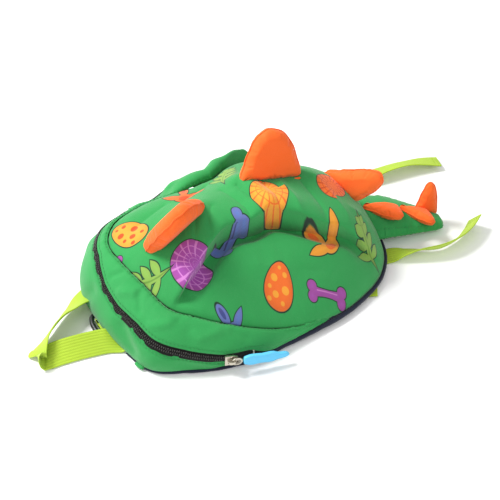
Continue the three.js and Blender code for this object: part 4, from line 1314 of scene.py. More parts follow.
class Dressing(Enum):
    """Every finish of the bag, with the record's slot that it belongs to."""

    PRINT = ("printed_cloth", PrintFinish("printed polyester", GREEN))
    GREEN = ("green_cloth", ClothFinish("green polyester", GREEN))
    ORANGE = ("orange_cloth", ClothFinish("orange polyester", ORANGE, sheen=0.10, mottle=0.06))
    NAVY = ("navy_mesh", MeshFinish("navy spacer mesh", (0.012, 0.018, 0.045, 1)))
    BINDING = ("navy_mesh", ClothFinish("navy binding", (0.010, 0.014, 0.034, 1), threads=700.0))
    LIME = ("lime_webbing", WebbingFinish("lime webbing", (0.45, 0.64, 0.035, 1)))
    TAPE = ("zip_tape", TapeFinish("black zipper tape", (0.006, 0.005, 0.005, 1)))
    COIL = ("zip_coil", HardFinish("black nylon coil", (0.022, 0.019, 0.018, 1), worn=(0.07, 0.065, 0.06, 1)))
    PLASTIC = ("black_plastic",
               HardFinish("black acetal", (0.008, 0.008, 0.009, 1), worn=(0.06, 0.06, 0.06, 1), soft=0.08))
    NICKEL = ("nickel", HardFinish(
        "warm nickel", (0.50, 0.46, 0.38, 1), worn=(0.7, 0.66, 0.55, 1), metal=1.0, wear=0.6))
    RUBBER = ("pull_rubber",
              HardFinish("sky blue rubber", (0.10, 0.52, 0.82, 1), worn=(0.25, 0.62, 0.86, 1), soft=0.22,
                         coat=0.08))
    GREEN_THREAD = ("green_cloth", ThreadFinish("green thread", (0.022, 0.27, 0.065, 1)))
    ORANGE_THREAD = ("orange_cloth", ThreadFinish("orange thread", (0.78, 0.085, 0.012, 1)))
    LIME_THREAD = ("lime_webbing", ThreadFinish("lime thread", (0.34, 0.52, 0.02, 1)))


MADE: dict[Dressing, bpy.types.Material] = {}


def dress(piece: Piece, look: Dressing, *nodes: str) -> Piece:
    """Gives a piece its finish, and hides the CAD nodes that it replaces.

    Args:
        piece: The piece.
        look: Its finish.
        nodes: CAD nodes that it stands for.

    Returns:
        The same piece.
    """
    if look not in MADE:
        MADE[look] = look.value[1].material()
    piece.data.materials.clear()
    piece.data.materials.append(MADE[look])
    if nodes:
        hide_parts(*nodes)
    LOG.info("%s: %d faces, %s", piece.name, len(piece.data.polygons), MADE[look].name)
    return piece


# The bag's sub-assemblies.


@dataclass
class ClothBody:
    """Front panel, gusset bands and mesh back."""

    around: int = 400
    rows: int = 106
    tuck: float = 2.4
    wall: float = 1.1
    gusset_from: float = 39.375
    gusset_to: float = 292.5
    zip_from: float = 90.0
    zip_to: float = 258.75
    outer_to: float = 247.5
    tape_clear: float = 4.6
    hem_roll: float = 1.3
    tuck_at: float = 208.0
    sewing: Sewing = field(default_factory=Sewing)

    def front(self) -> Piece:
        """The printed front panel with its folds, tucked into its seam."""
        share = self.rows / (self.rows + 3)

        def place(u: Array, v: Array) -> Points:
            """Panel surface, then the turned-in seam allowance."""
            deg, s = 360 * (1 - u), np.minimum(v / share, 1)
            under = np.clip((v - share) / (1 - share), 0, 1)
            p = BODY.front(deg, s)
            inward = -BODY.front_normal(deg, np.minimum(s, 0.97))
            inward[:, :2] -= 0.25 * unit(BODY.polar(deg, np.ones_like(s), np.zeros_like(s)) - [
                *BODY.middle, 0])[:, :2]
            return p + inward * (under * self.tuck)[:, None]

        def uv(u: Array, v: Array) -> Points:
            """Cloth millimetres, halfway between plan and the run of the cloth."""
            deg, s = 360 * (1 - u), np.minimum(v / share, 1)
            steps = np.linspace(0, 1, 31)
            turn = np.arange(0, 360, 3.0)
            grid_deg, grid_s = (a.ravel() for a in np.meshgrid(turn, steps, indexing="ij"))
            run = BODY.front(grid_deg, grid_s, False).reshape(len(turn), len(steps), 3)
            arc = np.concatenate([np.zeros((len(turn), 1)),
                                  np.cumsum(np.linalg.norm(np.diff(run, axis=1), axis=2), axis=1)], axis=1)
            rows = np.rint(deg / 3.0).astype(int) % len(turn)
            column = np.clip(s * 30, 0, 29.999)
            low = column.astype(int)
            reach = mix(arc[rows, low], arc[rows, low + 1], column - low)
            near = (rows + np.where(deg / 3.0 >= np.rint(deg / 3.0), 1, -1)) % len(turn)
            other = mix(arc[near, low], arc[near, low + 1], column - low)
            reach = mix(reach, other, np.abs(deg / 3.0 - np.rint(deg / 3.0)))
            reach = 0.5 * (reach + BODY.seam(deg) * s) + np.clip((v - share) / (1 - share), 0, 1) * self.tuck
            a = np.radians(deg)
            return np.stack([reach * np.cos(a), reach * np.sin(a)], axis=1)

        mesh = grid_mesh("front_cloth", self.around, self.rows + 3, place, uv, weld=True)
        piece = new_piece("front_cloth", mesh)
        solidify(piece, self.wall)
        return dress(piece, Dressing.PRINT, "front_panel")

    def floor_hem(self, deg: Array) -> Array:
        """Distance of the gusset's lower edge up from the floor."""
        near = smooth((deg - 125) / 20) * smooth((240 - deg) / 14)
        return mix(BODY.back_thick + 0.4, 0.5,
                   near) + BODY.rim_lift * smooth(np.cos(np.radians(deg)) * 2 + 0.4)

    def band(self, name: str, start: float, end: float, rows: int, low: Callable[[Array], Array],
             high: Callable[[Array], Array], tuck_low: float, tuck_high: float) -> Mesh:
        """A band of the gusset with rolled or tucked edges.

        Args:
            name: Mesh name.
            start: First angle.
            end: Last angle.
            rows: Cells up the band.
            low: Lower edge up the cloth at each angle.
            high: Upper edge.
            tuck_low: Depth in millimetres that the lower edge turns in.
            tuck_high: The same for the upper edge.

        Returns:
            The band's mesh.
        """
        def place(u: Array, v: Array) -> Points:
            """Band surface with its folds, puckers and turned edges."""
            deg = mix(start, end, u)
            inner = np.clip((v * (rows + 4) - 2) / rows, 0, 1)
            distance = mix(low(deg), high(deg), inner)
            normal = BODY.gusset_normal(deg, distance)
            arc = np.radians(deg) * BODY.rim(deg)
            off_low, off_high = distance - low(deg), high(deg) - distance
            out = BODY.gusset_folds(deg, distance) * smooth(off_low / 5) * smooth(off_high / 5)
            pucker = ripple(arc, ((13, 0.26, 0.0), (7.7, 0.20, 1.3), (5.3, 0.12, 3.0)))
            out = out + pucker * (0.12 * np.exp(-off_low / 6) + np.exp(-off_high / 6)
                                  * (0.9 if tuck_high > 2 else 0.12))
            out = out - 0.35 * bell((off_low - 2.6) / 0.9) - 0.35 * bell((off_high - 2.6) / 0.9) * (tuck_high > 0)
            under = np.clip(2 - v * (rows + 4), 0, 2) / 2
            over = np.clip(v * (rows + 4) - (rows + 2), 0, 2) / 2
            out = out - under**0.8 * tuck_low - over**0.8 * tuck_high - 0.9 * bell(off_high / 2.6) * (tuck_high > 0)
            p = BODY.gusset_at(deg, distance) + normal * out[:, None]
            ahead = np.cross(normal, unit(np.cross(np.broadcast_to([0.0, 0.0, 1.0], normal.shape), normal)))
            return p + ahead * ((over - under) * 0.5)[:, None]

        def uv(u: Array, v: Array) -> Points:
            """Cloth millimetres round and up the band."""
            deg = mix(start, end, u)
            inner = np.clip((v * (rows + 4) - 2) / rows, 0, 1)
            return np.stack([np.radians(deg - 165) * BODY.rim(deg), mix(low(deg), high(deg), inner)], axis=1)

        return grid_mesh(name, int((end - start) * 1.5), rows + 4, place, uv)

    def clear(self, deg: Array) -> Array:
        """Half width of the opening between the bands, narrow at the top end and at the zip's end."""
        wide = mix(3.0, self.tape_clear, smooth((deg - 186) / 26))
        return wide * mix(1.0, 0.35, smooth((deg - 248) / 9)) - 0.6

    def gusset(self) -> list[Piece]:
        """Both bands beside the zipper."""
        def inner_low(deg: Array) -> Array:
            """Lower edge of the inner band: above the zip, and down to the hem past its ends."""
            beyond = np.maximum(smooth((self.zip_from - deg) / BODY.step_deg),
                                smooth((deg - self.outer_to) / 15))
            return mix(BODY.zip_up(deg) + self.clear(deg), self.floor_hem(deg) + 0.5, beyond)

        inner = self.band("gusset_inner_cloth", self.gusset_from, self.gusset_to, 24, inner_low,
                          lambda deg: BODY.gusset_length(deg) - 0.4, self.hem_roll, self.tuck)
        outer = self.band("gusset_outer_cloth", self.zip_from, self.outer_to + 2, 22, self.floor_hem,
                          lambda deg: BODY.zip_up(deg) - self.clear(deg), 0.9, self.hem_roll)
        pieces = []
        for mesh, node in ((inner, "gusset_inner"), (outer, "gusset_outer")):
            piece = new_piece(mesh.name, mesh)
            solidify(piece, self.wall)
            pieces.append(dress(piece, Dressing.GREEN, node))
        return pieces

    def seam_stitches(self) -> None:
        """Rows of thread beside the zip and beside the front seam."""
        deg = np.linspace(self.zip_from + 4, self.zip_to - 2, 420)
        rows = (
            ("stitches_zip_inner", deg, lambda d: BODY.zip_up(d) + self.clear(d) + 2.6),
            ("stitches_zip_outer", deg[deg < self.outer_to - 4],
             lambda d: BODY.zip_up(d) - self.clear(d) - 2.6),
            ("stitches_front_seam", np.linspace(52, 284, 520), lambda d: BODY.gusset_length(d) - 3.0),
        )
        for name, turns, up in rows:
            normal = BODY.gusset_normal(turns, up(turns))
            path = BODY.gusset_at(turns, up(turns)) + normal * BODY.gusset_folds(turns, up(turns))[:, None]
            dress(new_piece(name, self.sewing.row(name, path, normal)), Dressing.GREEN_THREAD)

    def back_edge(self, deg: Array) -> Array:
        """Reach of the back panel's edge."""
        return BODY.rim(deg) - 5.4 * smooth((deg - 116) / 20) * smooth((249 - deg) / 14)

    def back_lift(self, deg: Array) -> Array:
        """Height of the back panel's edge off the floor."""
        return BODY.rim_lift * smooth(np.cos(np.radians(deg)) * 2 + 0.4)

    def back(self) -> list[Piece]:
        """The mesh back panel and the binding round its edge."""
        def place(u: Array, v: Array) -> Points:
            """Closed pad: underside out to its edge, then back over its top."""
            deg = 360 * (1 - u)
            turn = v * 2
            s = np.where(turn < 1, turn, 2 - turn)
            edge = smooth((1 - s) / 0.22)
            lift = self.back_lift(deg)
            soft = np.sqrt(np.clip((1 - s) / 0.03, 0, 1))
            quilt = 0.5 * np.abs(np.sin((self.back_edge(deg) * s) / 11))
            z = mix(lift, BODY.strap_room, edge) + BODY.back_thick / 2
            half = BODY.back_thick / 2 * mix(0.35, 1.0, soft)
            z = z + np.where(turn < 1, -half, half + quilt * edge)
            return BODY.polar(deg, self.back_edge(deg) * s, z)

        mesh = outward(grid_mesh(
            "back_mesh", 180, 80, place, lambda u, v: np.stack([u * 360, v * 200], 1), weld=True))
        panel = dress(new_piece("back_mesh", mesh), Dressing.NAVY, "back_panel")
        deg = np.linspace(0, 360, 320, endpoint=False)
        path = BODY.polar(deg, self.back_edge(deg) + 0.7,
                          self.back_lift(deg) + 2.4 + ripple(deg, ((11, 0.12, 0), (7, 0.10, 1))))
        binding = tube_mesh("back_binding", path, 2.4, 12, flat=0.75,
                            normal=BODY.polar(deg, np.ones_like(deg), 0 * deg) - [
                                *BODY.middle, 0], closed=True)
        turn = np.linspace(200, 254, 90)
        out = mix(0.1, 1.0, smooth((turn - 212) / 20)) + ripple(turn, ((9, 0.12, 0), (5, 0.10, 1)))
        path = BODY.polar(turn, BODY.rim(turn) + out, np.full(90, 1.5))
        rim = dress(new_piece("rim_binding", tube_mesh("rim_binding", path, 1.5, 10)), Dressing.BINDING)
        return [panel, dress(new_piece("back_binding", binding), Dressing.BINDING), rim]

    def tuck_end(self) -> None:
        """The small fold of seam allowance that sticks out under the near top corner."""
        deg = np.linspace(self.tuck_at - 2.0, self.tuck_at + 2.0, 9)
        path = BODY.polar(deg, BODY.rim(deg) + 2.2 - 1.2 * np.linspace(-1, 1, 9) ** 2, np.full(9, 2.5))
        dress(new_piece("tuck_end", tube_mesh("tuck_end", path, 2.4, 10, flat=0.8)), Dressing.GREEN)

    def build(self) -> None:
        """Makes and dresses the cloth body."""
        self.front()
        self.gusset()
        self.back()
        self.tuck_end()
        self.seam_stitches()


@dataclass
class Zipper:
    """Tape, coil, slider and pull."""

    start: float = 95.6
    tape_end: float = 258.75
    coil_start: float = 101.2
    coil_end: float = 241.0
    tape_half: float = 5.2
    pitch: float = 1.9
    tooth: tuple[float, float, float] = (0.62, 1.35, 0.85)
    tape_depth: float = 0.75
    stop_deg: float = 250.5

    def tape(self) -> None:
        """Both tapes as one strip under the bands' edges."""
        def place(u: Array, v: Array) -> Points:
            """Tape surface."""
            deg = mix(self.start, self.tape_end, u)
            half = self.tape_half * mix(1.0, 0.45, smooth((deg - 248) / 9))
            distance = BODY.zip_up(deg) + (v - 0.5) * 2 * half
            arc = np.radians(deg) * BODY.rim(deg)
            out = -self.tape_depth - 0.25 * bell((v - 0.5) / 0.04) + ripple(arc, (
                (19, 0.12, 0), (11, 0.1, 2)))
            return BODY.gusset_at(deg, distance) + BODY.gusset_normal(deg, distance) * out[:, None]

        def uv(u: Array, v: Array) -> Points:
            """Cloth millimetres along and across the tape."""
            return np.stack([(u - 0.5) * 370, v * 2 * self.tape_half], axis=1)

        piece = new_piece("zipper_tape", grid_mesh("zipper_tape", 260, 10, place, uv))
        solidify(piece, 0.6)
        dress(piece, Dressing.TAPE, "zip_tape")

    def coil(self) -> None:
        """The coil's loops, side by side and interlocked."""
        deg = np.linspace(self.coil_start, self.coil_end, 1200)
        up = BODY.zip_up(deg)
        path, normal = BODY.gusset_at(deg, up), BODY.gusset_normal(deg, up)
        run = path_run(path)
        spots, turns = [], []
        for side in (-1.0, 1.0):
            at = np.arange(self.pitch * (0.25 + 0.25 * side) + 0.4, run[-1], self.pitch)
            centre = along_path(path, run, at)
            out = unit(along_path(normal, run, at))
            ahead = unit(along_path(path, run, at + 0.5) - centre)
            across = np.cross(out, ahead)
            spots.append(centre + across * side * 1.15 + out * 0.35)
            turns.append(np.stack([ahead, across, out], axis=2))
        mesh = beads("zipper_coil", np.concatenate(spots), np.concatenate(turns), self.tooth)
        dress(new_piece("zipper_coil", mesh), Dressing.COIL, "zip_coil")

    def end_stop(self) -> None:
        """The small metal stop across the tape past the slider."""
        deg = np.array([self.stop_deg - 1.0, self.stop_deg, self.stop_deg + 1.0])
        up = BODY.zip_up(deg)
        normal = BODY.gusset_normal(deg, up)
        across = unit(np.cross(normal[1], BODY.gusset_at(deg, up)[2] - BODY.gusset_at(deg, up)[0]))
        middle = BODY.gusset_at(deg, up)[1] - normal[1] * 0.2
        reach = np.array([-2.6, -2.4, -1.6, -0.6, 0.6, 1.6, 2.4, 2.6])
        dip = np.array([-0.9, -0.1, 0.35, 0.5, 0.5, 0.35, -0.1, -0.9])
        path = middle + across * reach[:, None] + normal[1] * dip[:, None]
        mesh = tube_mesh("zipper_stop", path, 0.75, 8, normal=np.tile(normal[1], (len(path), 1)))
        dress(new_piece("zipper_stop", mesh), Dressing.NICKEL)

    def slider(self) -> None:
        """Slider body and the pull that hangs from it."""
        dress(dressed_copy("zip_slider", "slider_body", bevel=0.35), Dressing.NICKEL)
        dress(dressed_copy("pull_ring", "pull_wire", body=PULL, rounds=1), Dressing.NICKEL)
        dress(dressed_copy("pull_grip", "pull_rubber", body=PULL, bevel=1.1), Dressing.RUBBER)

    def build(self) -> None:
        """Makes and dresses the zipper."""
        self.tape()
        self.coil()
        self.end_stop()
        self.slider()


# Outline of a plate or spike: along its base and up its height, as shares.
PLATE_OUTLINE: list[tuple[float, float]] = [
    (-0.50, 0.02), (-0.42, 0.30), (-0.29, 0.62), (-0.13, 0.88), (0.05, 1.00), (0.25, 0.93), (0.40, 0.68),
    (0.48, 0.36), (0.50, 0.02), (0.26, 0.00), (0.00, 0.00), (-0.26, 0.00),
]


@dataclass
class Pillow:
    """A stuffed flat shape of two panels sewn round their edge."""

    name: str
    node: str
    spread: Callable[[Array, Array], tuple[Points, Points]]
    thick: float
    look: Dressing
    thread: Dressing
    fill: float = 0.75
    around: int = 112
    rings: int = 16
    pressure: float = 5.0
    frames: int = 16
    scale: float = 20.0
    limit: float = 2.0
    waver: float = 0.5
    outline: Sequence[tuple[float, float]] = tuple(PLATE_OUTLINE)
    centre: tuple[float, float] = (0.0, 0.42)

    def flat_point(self, turn: Array, s: Array) -> tuple[Array, Array]:
        """Place in the outline's own shares at a share of a turn and of the way out."""
        ring = [(a, b, 0.0) for a, b in self.outline]
        wrapped = Line3([*ring[-2:], *ring, *ring[:3]])
        count, total = len(ring), len(ring) + 5
        edge = wrapped.at((2 + (turn % 1.0) * count) / (total - 1))
        return mix(self.centre[0], edge[:, 0], s), mix(self.centre[1], edge[:, 1], s)

    def shell(self) -> Mesh:
        """The unfilled shape: both panels, joined at their seam."""
        def place(u: Array, v: Array) -> Points:
            """Panel surface; v runs from one panel's middle over the seam to the other's."""
            side = 2 * v - 1
            s = np.sqrt(np.clip(1 - np.abs(side), 0, 1))
            along, up = self.flat_point(u, s)
            point, face = self.spread(along, up)
            half = self.thick / 2 * 0.80 * np.sign(side) * np.clip(1 - s**6.5, 0, 1) ** 0.5
            arc = u * self.around
            half = half + self.waver * s**8 * ripple(arc, ((14.0, 0.6, 0.3), (8.6, 0.5, 2.1)))
            return point + face * half[:, None]

        def uv(u: Array, v: Array) -> Points:
            """Cloth millimetres across the panel."""
            s = np.sqrt(np.clip(1 - np.abs(2 * v - 1), 0, 1))
            along, up = self.flat_point(u, s)
            return np.stack([along * 60 + np.where(v > 0.5, 70, -70), up * 45], axis=1)

        return outward(grid_mesh(self.name, self.around, self.rings * 2, place, uv, weld=True, keep=True))

    def inflate(self, piece: Piece) -> None:
        """Fills the piece by a short cloth simulation with its seam held, and keeps the result."""
        mesh = piece.data
        rest = np.empty(len(mesh.vertices) * 3)
        mesh.vertices.foreach_get("co", rest)
        level = np.empty(len(mesh.vertices), dtype=np.float32)
        mesh.attributes["level"].data.foreach_get("value", level)
        seam = [int(i) for i in np.nonzero(np.abs(level - 0.5) < 0.01)[0]]
        mesh.vertices.foreach_set("co", rest * self.scale)
        pins = piece.vertex_groups.new(name="seam")
        pins.add(seam, 1.0, "REPLACE")
        cloth = piece.modifiers.new("Cloth", "CLOTH")
        cloth.settings.quality = 6
        cloth.settings.mass = 0.25
        cloth.settings.tension_stiffness = cloth.settings.compression_stiffness = 12
        cloth.settings.bending_stiffness = 0.4
        cloth.settings.use_pressure = True
        cloth.settings.uniform_pressure_force = self.pressure
        cloth.settings.vertex_group_mass = "seam"
        cloth.settings.shrink_min = -0.05
        cloth.settings.effector_weights.gravity = 0
        cloth.collision_settings.use_collision = False
        cloth.collision_settings.use_self_collision = False
        scene = bpy.context.scene
        for step in range(1, self.frames + 1):
            scene.frame_set(step)
        filled = bpy.data.meshes.new_from_object(piece.evaluated_get(bpy.context.evaluated_depsgraph_get()))
        piece.modifiers.remove(cloth)
        piece.vertex_groups.clear()
        scene.frame_set(1)
        done = np.empty_like(rest)
        filled.vertices.foreach_get("co", done)
        bpy.data.meshes.remove(filled)
        moved = (done / self.scale - rest).reshape(-1, 3)
        length = np.linalg.norm(moved, axis=1, keepdims=True)
        moved *= np.minimum(1.0, self.limit * MM / np.maximum(length, 1e-9))
        mesh.vertices.foreach_set("co", rest + moved.ravel())
        mesh.update()

    def edge_path(self, piece: Piece) -> Points:
        """The seam's points in order, in millimetres in the bag's own axes."""
        mesh = piece.data
        spots = []
        for vert in mesh.vertices:
            if abs(mesh.attributes["level"].data[vert.index].value - 0.5) < 0.01:
                spots.append((mesh.attributes["along"].data[vert.index].value, (vert.co - ORIGIN) / MM))
        spots.sort(key=lambda item: item[0])
        return np.array([tuple(p) for _, p in spots])

    def build(self) -> Piece:
        """Makes, fills and dresses the pillow and its seam."""
        piece = new_piece(self.name, self.shell())
        self.inflate(piece)
        soft = piece.modifiers.new("Soft", "SUBSURF")
        soft.levels = soft.render_levels = 1
        dress(piece, self.look, self.node)
        edge = self.edge_path(piece)
        tops = edge[(np.arange(len(edge)) / len(edge)) < 8 / 12]
        middle = tops.mean(axis=0)
        roll = tube_mesh(f"{self.name}_seam", tops, 0.6, 8)
        dress(new_piece(f"{self.name}_seam", roll), self.look)
        face = unit(np.cross(tops[-1] - tops[0], tops[len(tops) // 2] - middle)[None, :])[0]
        out = unit(tops - middle)
        path = tops - out * 2.6
        for tag, side in (("a", 1.0), ("b", -1.0)):
            lifted = path + face * side * 1.2
            normal = np.tile(face * side, (len(path), 1))
            mesh = Sewing(pitch=3.0, stitch=2.0, thread=0.3).row(
                f"{self.name}_stitches_{tag}", lifted, normal)
            dress(new_piece(mesh.name, mesh), self.thread)
        return piece


class PlateRow(NamedTuple):
    """A stuffed plate: base ends in plan, tall over the crown, lean."""

    name: str
    x0: float
    y0: float
    x1: float
    y1: float
    tall: float
    lean: tuple[float, float, float]


@dataclass
class Plates:
    """The three stuffed plates along the middle seam."""

    thick: float = 17.0
    sink: float = -1.0
    rows: Sequence[PlateRow] = (
        PlateRow("plate_top", -0.655, -0.070, -0.225, 0.020, 0.60, (-0.32, -0.63, 0.71)),
        PlateRow("plate_middle", 0.065, 0.070, 0.470, 0.040, 0.62, (0.05, 0.30, 0.95)),
        PlateRow("plate_bottom", 0.690, 0.085, 0.810, -0.115, 0.52, (0.62, -0.56, 0.55)),
    )

    def spread(self, row: PlateRow) -> Callable[[Array, Array], tuple[Points, Points]]:
        """How one plate's outline stands on the front panel."""
        start = np.array([row.x0, row.y0]) * BODY.half_length + BODY.middle
        end = np.array([row.x1, row.y1]) * BODY.half_length + BODY.middle
        lean = unit(np.array([row.lean]))[0]
        ends = BODY.front_over(np.array([start[0], end[0]]), np.array([start[1], end[1]]))[0]
        chord = unit((ends[1] - ends[0])[None, :])[0]
        face = unit(np.cross(chord, lean)[None, :])[0]

        def stand(along: Array, up: Array) -> tuple[Points, Points]:
            """Point and thickness direction for shares along the base and up the height."""
            t = along + 0.5
            foot, normal = BODY.front_over(mix(start[0], end[0], t), mix(start[1], end[1], t))
            point = foot + normal * self.sink + lean * (up * row.tall * BODY.crown)[:, None]
            return point, np.broadcast_to(face, point.shape)

        return stand

    def base_roll(self, row: PlateRow) -> None:
        """The stitched roll where the plate meets the panel."""
        t = np.linspace(0.03, 0.97, 40)
        x = mix(row.x0, row.x1, t) * BODY.half_length + BODY.middle[0]
        y = mix(row.y0, row.y1, t) * BODY.half_length + BODY.middle[1]
        foot, normal = BODY.front_over(x, y)
        side = unit(np.cross(normal, np.gradient(foot, axis=0)))
        toward = np.sign((side * [-0.321, -0.63, 0.707]).sum(axis=1))[:, None]
        path = foot + side * toward * 6.2 + normal * 0.4
        roll = tube_mesh(f"{row.name}_base", path, 1.1 + 0.10 * np.sin(t * 40), 10, normal=normal)
        dress(new_piece(f"{row.name}_base", roll), Dressing.ORANGE)
        mesh = Sewing(pitch=3.2, stitch=2.2, thread=0.32).row(
            f"{row.name}_base_stitches", path + normal * 1.05, normal)
        dress(new_piece(mesh.name, mesh), Dressing.ORANGE_THREAD)

    def build(self) -> None:
        """Makes the three plates and their base seams."""
        for row in self.rows:
            Pillow(f"{row.name}_pillow", row.name, self.spread(row), self.thick, Dressing.ORANGE,
                   Dressing.ORANGE_THREAD).build()
            self.base_roll(row)


class TailRow(NamedTuple):
    """One section of the tail: middle in plan, half width and half thickness over the crown."""

    x: float
    y: float
    wide: float
    thick: float


class SpikeRow(NamedTuple):
    """A spike on the tail: base ends and sideways shift as shares, tall over the crown, lean."""

    name: str
    start: float
    end: float
    aside: float
    tall: float
    lean: tuple[float, float, float]


@dataclass
class Tail:
    """The stuffed tail with its three spikes."""

    rows: Sequence[TailRow] = (
        TailRow(0.895, -0.036, 0.36, 0.155), TailRow(0.960, -0.058, 0.37, 0.170), TailRow(
            1.060, -0.094, 0.35, 0.165),
        TailRow(1.160, -0.145, 0.29, 0.145), TailRow(1.265, -0.196, 0.22, 0.120), TailRow(
            1.365, -0.246, 0.155, 0.095),
        TailRow(1.415, -0.262, 0.110, 0.072), TailRow(1.442, -0.270, 0.055, 0.045),
    )
    spikes: Sequence[SpikeRow] = (
        SpikeRow("tail_spike_1", 0.06, 0.46, 0.03, 0.31, (0.04, -0.96, 0.16)),
        SpikeRow("tail_spike_2", 0.49, 0.80, 0.04, 0.32, (0.06, -0.96, 0.14)),
        SpikeRow("tail_spike_3", 0.72, 0.96, 0.10, 0.42, (0.06, 0.10, 0.98)),
    )
    spike_thick: float = 11.0

    def section(self, t: Array) -> tuple[Points, Array, Array]:
        """Middle, half width and half thickness at shares of the tail's length."""
        table = np.array(self.rows, float)
        x = mix(table[0, 0], table[-1, 0], np.clip(t, 0, 1))
        y, wide, thick = (np.interp(x, table[:, 0], table[:, k]) for k in (1, 2, 3))
        middle = np.stack([x * BODY.half_length + BODY.middle[0], y * BODY.half_length + BODY.middle[1],
                           0 * x], axis=1)
        return middle, wide * BODY.crown, thick * BODY.crown

    def surface(self) -> Mesh:
        """The tail: two panels from its root to its tip, seamed at both sides, with sewn-in puckers."""
        def place(u: Array, v: Array) -> Points:
            """Skin at a share of the length and of the turn round the section."""
            t = np.clip(u * 1.06 - 0.06, -0.06, 1.0)
            middle, wide, thick = self.section(t)
            middle[:, 0] += np.minimum(t, 0) * 60
            ahead = unit(self.section(np.minimum(t + 0.05, 1))[0] - self.section(np.maximum(t - 0.05, 0))[0])
            across = np.cross([0.0, 0.0, 1.0], ahead)
            turn = 2 * math.pi * v
            c, s = np.cos(turn), np.sin(turn)
            tip = np.sqrt(np.clip((1 - t) / 0.05, 0.0, 1.0))
            seam = np.exp(-(np.sin(turn) / 0.22) ** 2)
            arc = t * 100
            pull = ripple(arc, ((9.0, 0.35, 0.2), (5.7, 0.28, 1.7), (3.9, 0.18, 0.4)))
            body = np.sign(s) * np.abs(s) ** 1.15
            p = middle + across * (c * wide * tip)[:, None]
            p[:, 2] += thick + 0.4 + body * thick * mix(0.15, 1.0, tip)
            p[:, 2] += pull * np.exp(-((np.abs(c) - 1) / 0.16) ** 2) * tip
            p += across * (np.sign(c) * seam * (0.5 + 0.3 * pull))[:, None]
            dents = ((0.50, -0.75, 1.6, 0.05), (0.62, -0.80, 1.3, 0.04), (0.30, -0.55, 0.9, 0.06),
                     (0.74, 0.45, 0.9, 0.05), (0.20, 0.50, 0.8, 0.05))
            for at, side, deep, size in dents:
                p[:, 2] -= deep * bell((t - at) / size) * bell((c - side) / 0.35) * (s > 0)
            return p

        def uv(u: Array, v: Array) -> Points:
            """Cloth millimetres along and round the tail."""
            return np.stack([(u - 0.5) * 78, v * 110], axis=1)

        return outward(grid_mesh("tail_cloth", 110, 72, place, uv, weld=True), fill=True)

    def seam(self) -> None:
        """Rolled seam and stitches along the tail's near side."""
        t = np.linspace(0.0, 0.985, 90)
        middle, wide, thick = self.section(t)
        ahead = unit(np.gradient(middle, axis=0))
        across = np.cross([0.0, 0.0, 1.0], ahead)
        tip = np.sqrt(np.clip((1 - t) / 0.05, 0, 1))[:, None]
        path = middle - across * wide[:, None] * tip
        path[:, 2] = thick + 0.4
        dress(new_piece("tail_seam", tube_mesh("tail_seam", path, 0.9, 8)), Dressing.GREEN)
        inner = middle - across * (wide * 0.84)[:, None] * tip
        inner[:, 2] = 0.4 + thick * (1 + 0.5)
        normal = unit(-across * 0.55 + [0, 0, 0.83])
        mesh = Sewing(pitch=3.2, stitch=2.2, thread=0.32).row("tail_stitches", inner[:80], normal[:80])
        dress(new_piece("tail_stitches", mesh), Dressing.GREEN_THREAD)

    def spread(self, row: SpikeRow) -> Callable[[Array, Array], tuple[Points, Points]]:
        """How one spike's outline stands on the tail."""
        lean = unit(np.array([row.lean]))[0]
        ends = self.section(np.array([row.start, row.end]))[0]
        chord = unit((ends[1] - ends[0])[None, :])[0]
        face = unit(np.cross(chord, lean)[None, :])[0]

        def stand(along: Array, up: Array) -> tuple[Points, Points]:
            """Point and thickness direction for shares along the base and up the height."""
            middle, _, thick = self.section(mix(row.start, row.end, along + 0.5))
            point = middle.copy()
            point[:, 1] += row.aside * BODY.crown
            point[:, 2] = 2 * thick + 0.4 - abs(row.aside) * BODY.crown * 0.3 + 0.8
            return point + lean * (up * row.tall * BODY.crown)[:, None], np.broadcast_to(face, point.shape)

        return stand

    def build(self) -> None:
        """Makes the tail, its seam and its spikes."""
        piece = new_piece("tail_cloth", self.surface())
        dress(piece, Dressing.GREEN, "tail")
        self.seam()
        for row in self.spikes:
            Pillow(f"{row.name}_pillow", row.name, self.spread(row), self.spike_thick, Dressing.ORANGE,
                   Dressing.ORANGE_THREAD, around=84, rings=12, limit=1.4, waver=0.35).build()


class WebRow(NamedTuple):
    """One point of a webbing's middle line and the direction across it."""

    at: tuple[float, float, float]
    across: tuple[float, float, float]


